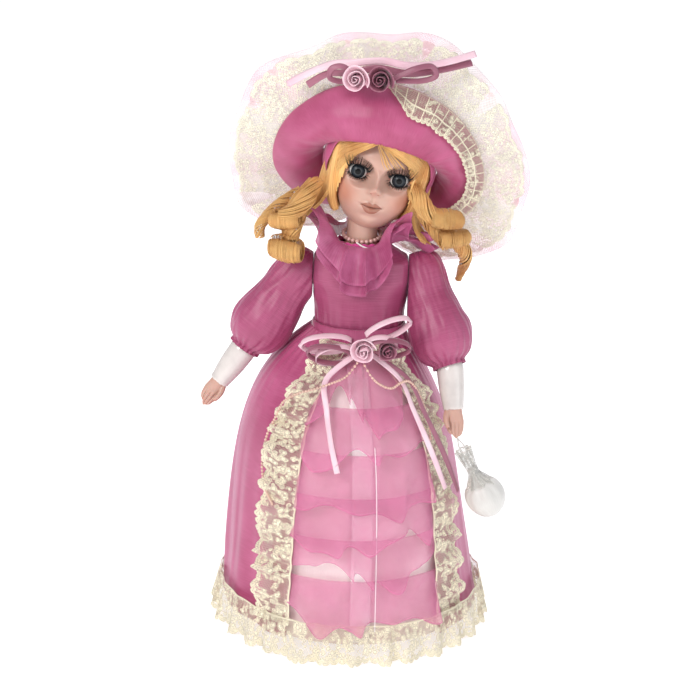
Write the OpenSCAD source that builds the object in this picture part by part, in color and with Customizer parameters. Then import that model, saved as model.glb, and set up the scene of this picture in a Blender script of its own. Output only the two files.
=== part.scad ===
// Costumed porcelain doll: a porcelain shoulder head, forearms and shins on a stuffed cloth body,
// dressed in a taffeta gown with an organza front, a picture hat with a tulle veil, and a small bag.
// Frame: +Z up, the doll faces -Y, its own right hand is on the -X side, the soles stand on Z = 0.

/* [Figure] */
// Height of the hip joints above the soles
hip_h = 186; // [172:1:196]
// Hip joints up to the shoulder joints
torso_h = 90; // [86:1:100]
// Half the distance between the two hip joints
hip_x = 17; // [16:0.5:19]
// Half the distance between the two shoulder joints
shoulder_x = 47; // [45:0.5:50]
// Shoulder joints up to the pivot of the neck
neck_h = 32; // [28:0.5:34]
// Radius of the neck
neck_r = 11.5; // [10:0.5:12]
// Lean of the head towards the doll's left
head_tilt = 12; // [0:1:14]

/* [Head] */
// Radius of the skull above the brow
skull_r = 33; // [30:0.5:34]
// Wall of the porcelain
porcelain_wall = 2.6; // [2:0.2:3.2]
// Distance between the centres of the eyes
eye_gap = 31; // [28:0.5:33]
// Radius of each glass eye
eye_r = 7.6; // [6.5:0.1:8]
// Thickness of the wig over the skull
wig_thick = 4.2; // [3:0.2:5]
// Number of pearls on the necklace
pearl_count = 25; // [18:1:25]
// Radius of each pearl
pearl_r = 1.6; // [1.2:0.1:1.7]

/* [Arms] */
// Shoulder joint down to the hem of the sleeve
sleeve_len = 70; // [62:1:72]
// Widest radius of the sleeve's puff
puff_r = 24; // [21:0.5:25]
// Radius of the stuffed cloth arm
arm_r = 9.5; // [8:0.5:10]
// Wrist below the forearm's ball
forearm_len = 30; // [26:1:34]
// Outward lean of the right arm
spread_right = 34; // [28:1:36]
// Outward lean of the left arm
spread_left = 20; // [16:1:24]
// Forward lean of the right arm
forward_right = 6; // [0:1:8]
// Forward lean of the left arm
forward_left = 24; // [16:1:28]

/* [Legs] */
// Radius of the stuffed cloth leg
leg_r = 11; // [9:0.5:12]
// Height of the porcelain shin above the soles
shin_h = 112; // [100:1:120]
// Length of the sole
sole_len = 50; // [44:1:54]
// Thickness of the sole
sole_thick = 2.5; // [2:0.5:3.5]

/* [Skirt] */
// Radius of the skirt at the waist
waist_r = 35; // [33:0.5:37]
// Radius of the skirt at the hem
hem_r = 101; // [90:1:104]
// Clearance of the hem above the floor
hem_clear = 14; // [10:1:20]
// How far the hanging left arm presses the skirt in
arm_dent = 24; // [18:1:28]
// How much flatter the skirt's front falls near the waist
front_dent = 12; // [8:1:16]
// Thickness of each skirt cloth
cloth = 1; // [0.8:0.1:1.2]
// Number of organza tiers on the front
tier_count = 6; // [5:1:6]
// Depth of each tier
tier_h = 36; // [30:1:37]

/* [Hat] */
// Radius of the brim
brim_r = 82; // [76:1:84]
// Radius of the tulle veil behind the brim
veil_r = 114; // [108:1:118]
// Thickness of the padded brim
brim_thick = 3; // [2:0.5:3.5]
// Height of the brim's line across the brow, as a tilt of the crown
hat_tilt = 25; // [20:1:28]

/* [Bag] */
// Widest radius of the bag's pouch
bag_r = 15; // [12:0.5:16]
// Hook of the hand down to the bottom of the bag
bag_drop = 70; // [62:1:74]

/* [Hidden] */
$fn = 48;
fit = 0.4;                              // clearance between neighbouring soft pieces
shoulder_z = hip_h + torso_h;
neck_z = shoulder_z + neck_h;
waist_z = shoulder_z - 41;
armhole_x = shoulder_x - 11;            // plane where the sleeve meets the bodice
head_c = skull_r + 19;                  // neck pivot up to the middle of the head
wig_r = skull_r + wig_thick;
hat_r = wig_r + 2.2;
skirt_len = waist_z - hem_clear;
porcelain = "#e6cfc6";
blonde = "#e2b066";
taffeta = "#b8447e";
tulle = "#f3d3df";
lace = "#f2e6c8";
organza = "#dd86b4";
pale_pink = "#eeb4d0";
mauve = "#a8607f";
white = "#efece6";
brown = "#4a2230";

// ---- Shared helpers -------------------------------------------------------------------------

function total(values, i = 0, so_far = 0) =
    i == len(values) ? so_far : total(values, i + 1, so_far + values[i]);

// A solid through a grid of points: each row is a closed loop, and the rows run on end to end.
module grid_solid(rows, closed = false) {
    n = len(rows);
    m = len(rows[0]);
    points = [for (row = rows) each row];
    function at(i, j) = (i % n) * m + j % m;
    sides = [for (i = [0 : closed ? n - 1 : n - 2], j = [0 : m - 1]) each [
        [at(i, j), at(i + 1, j + 1), at(i, j + 1)],
        [at(i, j), at(i + 1, j), at(i + 1, j + 1)]]];
    far = (n - 1) * m;
    ends = closed ? [] : [for (j = [0 : m / 2 - 2]) each [
        [j, j + 1, m - 2 - j], [j, m - 2 - j, m - 1 - j],
        [far + j, far + m - 2 - j, far + j + 1], [far + j, far + m - 1 - j, far + m - 2 - j]]];
    faces = concat(sides, ends);
    // The faces are turned outwards whichever way the rows run
    volume = total([for (f = faces) cross(points[f[0]], points[f[1]]) * points[f[2]]]);
    polyhedron(points, volume < 0 ? faces : [for (f = faces) [f[2], f[1], f[0]]], convexity = 10);
}

// A cloth of even thickness: outline(a, k, depth) gives the point at angle a and share k.
module cloth_solid(angles, shares, outline, thick, closed = false) {
    last = len(shares) - 1;
    grid_solid([for (a = angles) concat(
        [for (k = shares) outline(a, k, 0)],
        [for (i = [last : -1 : 0]) outline(a, shares[i], thick)])], closed);
}

// A closed body through level ellipses, each [z, half width, half depth, middle y].
module ellipse_stack(levels, count = 32) {
    grid_solid([for (l = levels) [for (i = [0 : count - 1])
        let (a = 360 * i / count) [l[1] * cos(a), l[3] - l[2] * sin(a), l[0]]]]);
}

function unit(v) = v / norm(v);
function steps(from, to, count) = [for (i = [0 : count]) from + (to - from) * i / count];
function mix(a, b, k) = a + (b - a) * k;
function heading(path, i) = unit(path[min(i + 1, len(path) - 1)] - path[max(i - 1, 0)]);

// A round cord along a path, with eight sides.
module tube(path, r, sides = 8) {
    grid_solid([for (i = [0 : len(path) - 1])
        let (
            along = heading(path, i),
            across = unit(cross(along, abs(along[2]) > 0.9 ? [1, 0, 0] : [0, 0, 1])),
            over = cross(along, across))
        [for (s = [0 : sides - 1])
            path[i] + r * (cos(360 * s / sides) * across - sin(360 * s / sides) * over)]]);
}

// A flat ribbon along a path, as wide as w in the direction "face" is turned away from.
module ribbon(path, w, thick, face) {
    grid_solid([for (i = [0 : len(path) - 1])
        let (
            along = heading(path, i),
            across = unit(cross(along, face)),
            out = cross(across, along))
        [for (c = [[-1, -1], [1, -1], [1, 1], [-1, 1]])
            path[i] + across * c[0] * w / 2 + out * c[1] * thick / 2]]);
}

module head_frame() translate([0, 0, neck_z]) rotate([0, head_tilt, 0]) children();

// ---- Head -----------------------------------------------------------------------------------

// The head without its neck, grown or shrunk by "grow".
module head_shape(grow) {
    translate([0, 0, head_c]) hull() {
        translate([0, 4, 6]) sphere(skull_r + grow, $fn = 28);
        translate([0, -3, -9]) scale([29 + grow, 27.5 + grow, 37 + grow]) sphere(1, $fn = 28);
    }
}

crown_cut = 20;                         // height above the middle of the head where it is open

// The shoulder plate's wall: a dome that flares from the neck to the edge of the chest.
function plate_point(a, k, depth) = [
    (neck_r + 0.5 - depth + 17 * sin(90 * k)) * cos(a),
    -(neck_r + 0.5 - depth + 7.5 * sin(90 * k)) * sin(a),
    neck_z - 8 - 20 * (1 - cos(90 * k)) - depth * cos(90 * k)];

module shoulder_head() {
    color(porcelain) {
        difference() {
            union() {
                head_frame() difference() {
                    head_shape(0);
                    head_shape(-porcelain_wall);
                    translate([-60, -60, head_c + crown_cut]) cube([120, 120, 60]);
                    for (side = [-1, 1]) eye_place(side)
                        rotate([90, 0, 0]) cylinder(h = 30, r = eye_r - 1.4);
                    translate([0, 0, head_c - 48]) cylinder(h = 38, r = neck_r - porcelain_wall);
                }
                head_frame() translate([0, -31, head_c - 10]) scale([1, 1, 1.4])
                    sphere(4, $fn = 20);
                translate([0, 0, neck_z - 11]) difference() {
                    cylinder(h = 32, r = neck_r);
                    translate([0, 0, -1]) cylinder(h = 40, r = neck_r - porcelain_wall);
                }
            }
            for (side = [-1, 1]) head_frame() eye_place(side) sphere(eye_r + fit);
        }
        cloth_solid(steps(0, 348.75, 31), steps(0, 1, 7),
            function (a, k, depth) plate_point(a, k, depth), porcelain_wall, true);
    }
}

module eye_place(side)
    translate([side * eye_gap / 2, 8.8 - skull_r + eye_r - 1.5, head_c - 1.7]) children();

module pate() color(blonde) head_frame() difference() {
    intersection() {
        head_shape(0);
        translate([-60, -60, head_c + crown_cut + fit]) cube([120, 120, 60]);
    }
    head_shape(-1.6);
}

module eye(side) color("#39424f") head_frame() eye_place(side) sphere(eye_r);

// A row of lashes over each eye, bound on a strip that follows the lid.
module eyelashes() color("#1d1614") head_frame() for (side = [-1, 1])
    eye_place(side) cloth_solid(steps(25, 155, 10), [0, 1],
        function (a, k, depth) [
            (eye_r - 0.4 + 4 * k) * cos(a),
            -eye_r - 4.2 - 3 * k - depth,
            (eye_r - 2.6 + 4.5 * k) * sin(a)],
        0.5);

// ---- Wig ------------------------------------------------------------------------------------

// The wefted cap: open over the face and the neck, long enough to cover the nape.
module wig_cap() color(blonde) head_frame() difference() {
    union() {
        head_shape(wig_thick);
        translate([0, 17, head_c - 14]) scale([34, 18, 26]) sphere(1, $fn = 28);
    }
    head_shape(fit);
    translate([0, -31, head_c - 20]) scale([31, 26, 46]) sphere(1, $fn = 28);
    translate([0, 0, head_c - 66]) cylinder(h = 50, r = neck_r + 5);
    translate([-60, -60, -20]) cube([120, 120, 34]);
}

// One hanging curl: a slim body through a path, widest in its middle.
module curl(path, r) {
    last = len(path) - 1;
    grid_solid([for (i = [0 : last])
        let (
            along = heading(path, i),
            across = unit(cross(along, [0, 1, 0])),
            over = cross(along, across),
            size = r * (0.55 + 0.45 * sin(180 * i / last)))
        [for (s = [0 : 11])
            path[i] + size * (cos(30 * s) * across - sin(30 * s) * over)]]);
}

function raised(path) = [for (p = path) p + [0, 0, neck_z]];

module ringlets_right() color(blonde) {
    curl(raised([[-40, -17, 36], [-46, -24, 26], [-50, -31, 16], [-52, -36, 6], [-52, -38, -6],
        [-51, -39, -20]]), 12);
    curl(raised([[-48, 8, 30], [-60, 12, 20], [-68, 14, 8], [-72, 18, -4]]), 8);
}

module ringlets_left() color(blonde) {
    curl(raised([[46, -16, 36], [53, -11, 28], [61, -8, 19], [68, -4, 10], [74, 6, 2],
        [78, 18, -8], [79, 22, -20], [78, 22, -32]]), 9);
    curl(raised([[40, -14, 30], [48, -10, 21], [56, -6, 12], [60, 2, 4]]), 6.5);
}

// ---- Hat ------------------------------------------------------------------------------------

// Radius of an outline at angle a from the brow: full at the front and sides, small at the nape.
function round_hat(full, nape, from, a) = let (over = max(0, abs(a) - from) / (180 - from))
    nape + (full - nape) * (0.5 + 0.5 * cos(180 * over));

function brim_in(a) = let (r = hat_r + 4)
    [r * sin(a), 4 - r * cos(hat_tilt) * cos(a), 4 + r * sin(hat_tilt) * cos(a)];
function brim_out(a) = let (r = round_hat(brim_r, 34, 75, a))
    [r * sin(a), 16 - 38 * cos(a), r * cos(a) * 0.95 - 12];
function brim_point(a, k, depth) = [0, 0, head_c]
    + mix(brim_in(a), brim_out(a), k) + [0, depth - 9 * sin(180 * k), 0];
function veil_point(a, k, depth) = let (r = mix(round_hat(brim_r - 8, 34, 75, a),
    round_hat(veil_r, 44, 100, a), k))
    [r * sin(a), 20.5 + 4 * k - 37 * cos(a) + depth, r * cos(a) * mix(0.95, 1, k) - 12 + head_c];

turn = steps(-180, 168.75, 31);

module hat_crown() color(taffeta) head_frame() translate([0, 0, head_c]) difference() {
    translate([0, 4, 4]) sphere(hat_r + 3.4);
    translate([0, 4, 4]) sphere(hat_r + 1.6);
    rotate([-hat_tilt, 0, 0]) translate([-80, -80, -159]) cube(160);
    head_shape_clear();
}

// Room for the wig inside the crown.
module head_shape_clear() translate([0, 0, -head_c]) head_shape(wig_thick + fit);

module hat_brim() color(taffeta) head_frame()
    cloth_solid(turn, steps(0.13, 1, 6), function (a, k, depth) brim_point(a, k, depth),
        brim_thick, true);

module hat_veil() color(tulle) head_frame()
    cloth_solid(turn, steps(0, 1, 4), function (a, k, depth) veil_point(a, k, depth),
        3, true);

module hat_lace() color(lace) head_frame()
    cloth_solid(steps(2, 106, 16), steps(0.55, 0.99, 4),
        function (a, k, depth) brim_point(a, k, -0.8 - depth), 1);

module rose(r) rotate([90, 0, 0]) {
    cylinder(h = r * 1.1, r1 = r * 0.72, r2 = r);
    translate([0, 0, r * 1.1]) cylinder(h = r * 0.35, r1 = r, r2 = r * 0.62);
}

rose_y = -34;                           // the roses sit in front of the brim's upper edge

module hat_rose_pale() color(pale_pink) head_frame()
    translate([-31, rose_y, head_c + 65]) rotate([0, -8, -16]) rose(8.5);

module hat_rose_mauve() color(mauve) head_frame()
    translate([-11, rose_y, head_c + 69]) rotate([0, 4, 8]) rose(9.5);

// The two streamers run behind the roses along the brim's edge.
streamer = [[-80, -12, 40], [-68, -19, 55], [-52, -25, 66], [-34, -29, 73], [-12, -31, 78],
    [8, -30, 82], [28, -26, 88], [46, -20, 96]];

module hat_ribbon(rise, back) head_frame()
    ribbon([for (p = streamer) p + [0, back, head_c + rise]], 5.5, 0.8, [0, 1, 0.12]);

module hat_ribbon_pale() color(pale_pink) hat_ribbon(4.5, 1.6);

module hat_ribbon_mauve() color(mauve) hat_ribbon(-1.6, 0);

// ---- Neck, bodice and collar -------------------------------------------------------------------

module necklace() color("#f0ccc8") {
    ring = neck_r + pearl_r + 1.1;
    for (i = [0 : pearl_count - 1]) let (a = 360 * i / pearl_count)
        translate([ring * sin(a), -ring * cos(a), neck_z - 0.6 - 2.6 * cos(a)])
        sphere(pearl_r, $fn = 16);
}

neck_line = [neck_r + 7.5, neck_r + 6];  // half width and half depth of the neckline
bodice_rise = neck_z - 8 - waist_z;     // from the waist seam up to the neckline
bodice_levels = [                       // height over the waist, half width, half depth, middle y
    [1, waist_r - 2, waist_r - 11, 0], [14, armhole_x - 2, 25, -1], [28, armhole_x - 0.4, 27, -2],
    [42, armhole_x - 0.5, 25.5, -1], [49, armhole_x - 2.5, 24, 0], [57, armhole_x - 5, 21.8, 0],
    [64, neck_line[0] + 5, neck_line[1] + 2.2, 0], [68, neck_line[0], neck_line[1], 0]];

module bodice() color(taffeta) difference() {
    cloth_solid(steps(0, 348.75, 31), [7, 6, 5, 4, 3, 2, 1, 0], function (a, k, depth)
        let (l = bodice_levels[k])
        [(l[1] - depth) * cos(a), l[3] - (l[2] - depth) * sin(a),
            waist_z + l[0] * bodice_rise / 68], 1.2, true);
    translate([-60, 0, shoulder_z]) rotate([0, 90, 0]) cylinder(h = 120, r = 9);
}

module neck_braid() color("#d4287c")
    cloth_solid(steps(0, 345, 23), [0, 1], function (a, k, depth)
        [(neck_line[0] - 1.2 + depth) * cos(a), -(neck_line[1] - 1.2 + depth) * sin(a),
            neck_z - 7.7 + 3 * k], 1.4, true);

// The standing organza frill: it lies on the chest at the front and stands up round the neck.
function frill_point(a, k, depth) = let (
    front = max(0, cos(a)),
    back = max(0, -cos(a)),
    from = [(neck_line[0] + 1) * sin(a), -(neck_line[1] + 1) * cos(a), neck_z - 6],
    to = [44 * sin(a), -37 * cos(a), neck_z + 14 - 42 * pow(front, 1.5) - 9 * back])
    mix(from, to, k) + [0, -4 * front * sin(180 * k), 4 * sin(180 * k) - depth];

module collar_frill() color("#c8628f")
    cloth_solid(steps(-180, 165, 23), steps(0.05, 1, 4),
        function (a, k, depth) frill_point(a, k, -depth), 2, true);

// ---- Torso ----------------------------------------------------------------------------------

module torso() color(white) {
    difference() {
        ellipse_stack([[hip_h + 4, 29, 19, 1], [hip_h + 18, 31.5, 21, 1], [waist_z, 26.5, 17, 0],
            [neck_z - 54, 29.5, 18.5, 0], [neck_z - 37, 28, 17, 0], [neck_z - 26, 24, 13, 0]]);
        for (side = [-1, 1]) translate([side * hip_x, 0, hip_h]) sphere(leg_r + 2);
    }
    // Stitched pads that the arms swing on
    for (side = [-1, 1]) translate([side * 24, 0, shoulder_z - 5.5]) rotate([0, side * 90, 0])
        cylinder(h = shoulder_x - arm_r - 24, r = 3.6);
}

// ---- Arms -----------------------------------------------------------------------------------
// side is -1 for the doll's right arm and 1 for its left arm.

function spread(side) = side < 0 ? spread_right : -spread_left;
function forward(side) = side < 0 ? forward_right : forward_left;
bend_right = 1;                         // the right forearm hangs a little straighter than the arm
bend_left = 12;
forearm_drop = sleeve_len + 4;          // shoulder joint down to the forearm's ball
ball_r = 10;
wrist_r = 7.2;

module arm_frame(side) translate([side * shoulder_x, 0, shoulder_z])
    rotate([-forward(side), spread(side), 0]) children();

module forearm_frame(side) arm_frame(side) translate([0, 0, -forearm_drop])
    rotate([0, side < 0 ? bend_right : bend_left, 0]) children();

module cloth_arm(side) color(white) arm_frame(side) {
    sphere(arm_r);
    translate([0, 0, ball_r + 1 - forearm_drop])
        cylinder(h = forearm_drop - ball_r - 1, r = arm_r);
}

// The sleeve's outline from the shoulder to the hem, as [radius, height below the shoulder].
sleeve_line = [[0, 19], [9, 17], [15, 12], [18, 5], [18.6, -6], [0.8 * puff_r, -0.26 * sleeve_len],
    [0.92 * puff_r, -0.46 * sleeve_len], [puff_r, -0.64 * sleeve_len],
    [0.96 * puff_r, -0.79 * sleeve_len], [0.76 * puff_r, -0.91 * sleeve_len],
    [ball_r + 2, 1 - sleeve_len], [ball_r + 1.8, -sleeve_len]];

module sleeve(side) color(taffeta) intersection() {
    arm_frame(side) rotate_extrude() polygon(concat(sleeve_line,
        [for (i = [len(sleeve_line) - 1 : -1 : 1]) sleeve_line[i] - [1, 0]],
        [[0, 18]]));
    translate([side > 0 ? armhole_x + 0.3 : -armhole_x - 150.3, -75, 0]) cube([150, 150, 400]);
}

module forearm(side) color(white) forearm_frame(side) {
    rotate_extrude() intersection() {
        union() {
            circle(ball_r);
            polygon([[0, 0], [ball_r, 0], [ball_r - 0.8, -10], [wrist_r, -forearm_len],
                [wrist_r - 2, -forearm_len - 2], [0, -forearm_len - 2]]);
        }
        translate([0, -60]) square([30, 120]);
    }
    // Palm with the fingers laid together, and the thumb
    translate([0, 0, -forearm_len]) hull() {
        sphere(5.6, $fn = 20);
        translate([0, -0.5, -9]) scale([1.15, 0.72, 1]) sphere(5.8, $fn = 20);
        translate([0, -1, -18.6]) scale([1.15, 0.75, 1]) sphere(3.2, $fn = 20);
    }
    translate([-side * 3, 0, -forearm_len]) hull() {
        translate([0, -3, -4]) sphere(2.4, $fn = 16);
        translate([0, -5.8, -12]) sphere(1.7, $fn = 16);
    }
}

// ---- Legs -----------------------------------------------------------------------------------

module cloth_leg(side) color(white) translate([side * hip_x, 0, 0]) {
    translate([0, 0, hip_h]) sphere(leg_r + 1.4);
    translate([0, 0, shin_h + fit]) cylinder(h = hip_h - shin_h - fit, r = leg_r);
}

// The shin's outline: [radius, height over the sole].
shin_line = [[0, 0], [leg_r - 1, 0], [leg_r - 0.4, -16], [leg_r - 1.5, -40], [6.8, -78], [6.4, -86],
    [0, -86]];

module foot(grow) hull() {
    translate([0, -2, 10]) sphere(6.4 + grow, $fn = 24);
    translate([0, -sole_len / 2 + 4, 8]) scale([1.15, 1.2, 0.8]) sphere(5 + grow, $fn = 24);
}

module shin(side) color(porcelain) translate([side * hip_x, 0, 0]) {
    translate([0, 0, shin_h]) rotate_extrude() polygon(shin_line);
    translate([0, 0, shin_h - 98]) cylinder(h = 14, r = 6.4);
    foot(0);
}

module shoe(side) color(brown) translate([side * hip_x, 0, 0]) {
    heel_y = 8;
    toe_y = heel_y + 17 - sole_len;
    linear_extrude(sole_thick) union() {
        translate([0, toe_y]) circle(9.5);
        translate([0, heel_y]) circle(7.5);
        polygon([[-9.5, toe_y], [9.5, toe_y], [7.5, heel_y], [-7.5, heel_y]]);
    }
    difference() {
        hull() {
            translate([0, 0, sole_thick]) linear_extrude(6) union() {
                translate([0, toe_y]) circle(8.8);
                translate([0, heel_y]) circle(7);
            }
            translate([0, 1, 34]) cylinder(h = 1, r = 9.6);
        }
        foot(0.5);
        translate([0, 0, 10]) cylinder(h = 40, r = 8);
    }
}

module pantalette(side) color(white) translate([side * hip_x, 0, 0]) rotate_extrude()
    polygon([[leg_r + 0.5, hip_h - 8], [leg_r + 2.5, hip_h - 8], [leg_r + 4, hip_h - 40],
        [leg_r + 3.6, shin_h - 20], [leg_r + 5, shin_h - 34], [leg_r + 4, shin_h - 34],
        [leg_r + 2.6, shin_h - 20], [leg_r + 3, hip_h - 40]]);

// ---- Skirt ----------------------------------------------------------------------------------
// k runs from 0 at the waist to 1 at the hem, and a from the front towards the doll's left.

function skirt_r(a, k) = waist_r + (hem_r - waist_r) * (1 - exp(-6.5 * k))
    - arm_dent * (sin(a) > 0 ? 1 : 0.3) * (1 - exp(-14 * k)) * (1 - pow(k, 2.2)) * pow(sin(a), 2)
    - front_dent * (1 - exp(-14 * k)) * (1 - k) * pow(max(0, cos(a)), 2);
function skirt_point(a, k, depth) = let (r = skirt_r(a, k) - depth)
    [r * sin(a), -r * cos(a), waist_z - skirt_len * k - 1.2 * depth * exp(-6.5 * k)];
levels = [0, 0.03, 0.07, 0.12, 0.18, 0.26, 0.36, 0.5, 0.7, 1];
lace_levels = [0.03, 0.07, 0.12, 0.18, 0.26, 0.36, 0.5, 0.7, 0.93];

// Half the angle of the gap at the front of the overskirt
function gap_at(k) = 8 + 29 * (1 - exp(-9 * k));

// The front gap turns a little towards the doll's left on its way down.
function drift_at(k) = 8 * (1 - exp(-6 * k));

module petticoat() color("#d8b4bc")
    cloth_solid(steps(0, 352.5, 47), levels, function (a, k, depth)
        skirt_point(a, k, cloth + 1.2 + depth), cloth, true);

module overskirt() color(taffeta)
    cloth_solid(steps(0, 1, 40), levels, function (s, k, depth)
        skirt_point(drift_at(k) + gap_at(k) + s * (360 - 2 * gap_at(k)), k, depth), cloth);

// Each tier hangs from the petticoat and stands clear of the next one.
tier_rise = skirt_len * 0.86 / tier_count;
module tier(i) {
    top = 0.045 + i * tier_rise / skirt_len;
    reach = tier_h / skirt_len;
    color(organza) cloth_solid(steps(-1, 1, 16), steps(0, 1, 4), function (s, q, depth)
        skirt_point(drift_at(top) + s * (gap_at(top) - 2.5), top + q * reach, -depth - 6 * q), 1);
}

// The gathered lace beside each edge of the overskirt's gap.
module edge_lace(side) color(lace)
    cloth_solid(steps(0, 1, 4), lace_levels, function (s, k, depth)
        skirt_point(drift_at(k) + side * (gap_at(k) + 1 + 15 * s), k, -1.6 - depth), 2);

module hem_lace() color(lace) translate([0, 0, hem_clear]) rotate_extrude()
    polygon([[hem_r + fit, 14], [hem_r + 1.6, 14], [hem_r + 6, -11], [hem_r + 4.4, -11]]);

// ---- Bow, roses and bead strings at the waist ----------------------------------------------------
// The places are worked out from the front of the waist.

function at_waist(path) = [for (p = path) p + [0, 0, waist_z]];
function loop(side, reach, rise, back) = [for (a = [30 : 20 : 330])
    [side * reach * (0.5 - 0.5 * cos(a)) + side * 6, back - 3.5 * sin(a), rise + 7 * sin(a)]];

module bow_pale() color(pale_pink) {
    ribbon(at_waist(loop(-1, 30, 4, -52)), 5, 0.6, [0, 1, 0]);
    ribbon(at_waist(loop(1, 26, 9, -52)), 5, 0.6, [0, 1, 0]);
}

module bow_mauve() color(mauve) {
    ribbon(at_waist(loop(-1, 28, -5, -60)), 5, 0.6, [0, 1, 0]);
    ribbon(at_waist(loop(1, 24, -2, -60)), 5, 0.6, [0, 1, 0]);
}

module tail(path) ribbon([for (p = path) let (k = p[1])
    skirt_point(p[0], k, -10.5 - 2 * k)], 5, 0.6, [0, 1, 0]);

module tail_pale_left() color(pale_pink)
    tail([for (k = steps(0.12, 0.58, 10)) [6 + 52 * k, k]]);

module tail_pale_right() color(pale_pink)
    tail([for (k = steps(0.12, 0.44, 8)) [-32 + 26 * k, k]]);

module tail_mauve_left() color(mauve)
    tail([for (k = steps(0.12, 0.62, 10)) [16 + 68 * k, k]]);

module waist_rose_pale() color(pale_pink)
    translate([-1, -64.5, waist_z + 3]) rotate([-14, 0, -8]) rose(9);

module waist_rose_mauve() color(mauve)
    translate([16, -65, waist_z - 1]) rotate([0, 0, 14]) rose(7);

bead_r = 0.7;
// Angle from the front, share of the skirt's depth, and how far the string stands off the skirt.
string_left = [[8, 0.11, 14], [13, 0.13, 14], [19, 0.14, 14], [25, 0.13, 14], [31, 0.13, 13],
    [36, 0.15, 11], [40, 0.18, 8], [42, 0.22, 7], [43, 0.27, 6], [43, 0.31, 5]];
string_right = [[-6, 0.11, 14], [-14, 0.13, 14], [-23, 0.15, 14], [-32, 0.17, 13], [-39, 0.2, 11],
    [-43, 0.25, 7], [-46, 0.31, 6], [-47, 0.38, 5], [-45, 0.45, 5], [-41, 0.5, 5], [-37, 0.53, 6]];

// Two points on each stretch keep the string smooth between the chosen ones.
function finer(path) = [for (i = [0 : len(path) - 2], q = [0, 0.5])
    mix(path[i], path[i + 1], q)];

module bead_string(path) color("#f4cdb4")
    tube([for (p = finer(path)) skirt_point(p[0], p[1], -p[2])], bead_r);

// ---- Bag ------------------------------------------------------------------------------------
// It hangs from the left hand, and leans out over the skirt.

bag_top = [77.1, -49.3, shoulder_z - 111.7];
bag_lean = 27;
module bag_frame() translate(bag_top) rotate([0, -bag_lean, 0]) children();

module bag_pouch() color(white) bag_frame() rotate_extrude()
    polygon([[0, -26], [4, -27], [3.2, -31], [7, -38], [0.8 * bag_r, -46], [bag_r, 20 - bag_drop],
        [0.93 * bag_r, 12 - bag_drop], [0.6 * bag_r, 4 - bag_drop], [0, -bag_drop]]);

module bag_frill() color("#f3efe6") bag_frame() rotate_extrude()
    polygon([[4.2, -31], [5.4, -10], [6, -10], [6.4, -24], [9, -36], [0.8 * bag_r + 2.2, -46],
        [0.8 * bag_r + 1.2, -46], [7.8, -36.6], [4.4, -31.4]]);

module bag_cord() color(white) bag_frame() translate([0, 0, -25.6]) cylinder(h = 25.6, r = 0.8);

// ---- Parts ----------------------------------------------------------------------------------

torso();
shoulder_head();
pate();
eye(1);  // eye_left
eye(-1);  // eye_right
eyelashes();
wig_cap();
ringlets_left();
ringlets_right();
hat_crown();
hat_brim();
hat_veil();
hat_lace();
hat_rose_pale();
hat_rose_mauve();
hat_ribbon_pale();
hat_ribbon_mauve();
necklace();
neck_braid();
collar_frill();
bodice();
petticoat();
overskirt();
for (i = [1 : tier_count]) tier(i - 1);
edge_lace(1);  // edge_lace_left
edge_lace(-1);  // edge_lace_right
hem_lace();
bow_pale();
bow_mauve();
tail_pale_left();
tail_pale_right();
tail_mauve_left();
waist_rose_pale();
waist_rose_mauve();
bead_string(string_left);  // bead_string_left
bead_string(string_right);  // bead_string_right
cloth_arm(1);  // cloth_arm_left
cloth_arm(-1);  // cloth_arm_right
sleeve(1);  // sleeve_left
sleeve(-1);  // sleeve_right
forearm(1);  // forearm_left
forearm(-1);  // forearm_right
cloth_leg(1);  // cloth_leg_left
cloth_leg(-1);  // cloth_leg_right
shin(1);  // shin_left
shin(-1);  // shin_right
pantalette(1);  // pantalette_left
pantalette(-1);  // pantalette_right
shoe(1);  // shoe_left
shoe(-1);  // shoe_right
bag_pouch();
bag_frill();
bag_cord();
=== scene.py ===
"""The costumed porcelain doll's looks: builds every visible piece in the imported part's frame."""

import math
import random

import bmesh
import bpy
from bpy.props import FloatProperty, FloatVectorProperty, IntProperty, PointerProperty
from mathutils import Matrix, Vector, noise


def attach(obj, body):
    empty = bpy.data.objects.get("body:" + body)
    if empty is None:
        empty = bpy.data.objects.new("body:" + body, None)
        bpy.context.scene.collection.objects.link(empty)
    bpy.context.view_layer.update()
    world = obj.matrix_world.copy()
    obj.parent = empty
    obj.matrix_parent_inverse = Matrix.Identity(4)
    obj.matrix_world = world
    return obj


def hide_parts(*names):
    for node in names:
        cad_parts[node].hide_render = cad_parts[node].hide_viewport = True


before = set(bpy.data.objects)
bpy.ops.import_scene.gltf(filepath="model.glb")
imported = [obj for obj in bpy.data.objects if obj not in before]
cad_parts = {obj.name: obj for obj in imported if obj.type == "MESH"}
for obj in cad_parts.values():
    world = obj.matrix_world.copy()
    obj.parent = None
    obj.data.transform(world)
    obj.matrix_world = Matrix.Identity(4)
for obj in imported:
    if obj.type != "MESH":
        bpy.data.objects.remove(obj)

bl_info = {
    "name": "Costumed porcelain doll",
    "version": (1, 0, 0),
    "blender": (4, 5, 0),
    "location": "View3D > Sidebar > Doll",
    "description": "Builds a porcelain doll with its wig, hat, gown and bag, piece by piece",
    "category": "Add Mesh",
}

# ---- Settings of the add-on ------------------------------------------------------------------------


def colour(label, description, value):
    """One colour setting, as linear red, green and blue."""
    return FloatVectorProperty(
        name=label, description=description, subtype="COLOR", size=3, min=0.0, max=1.0, default=value,
    )


def length(label, description, value, low, high):
    """One length setting, in metres."""
    return FloatProperty(
        name=label, description=description, unit="LENGTH", precision=4, default=value, min=low, max=high,
    )


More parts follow.
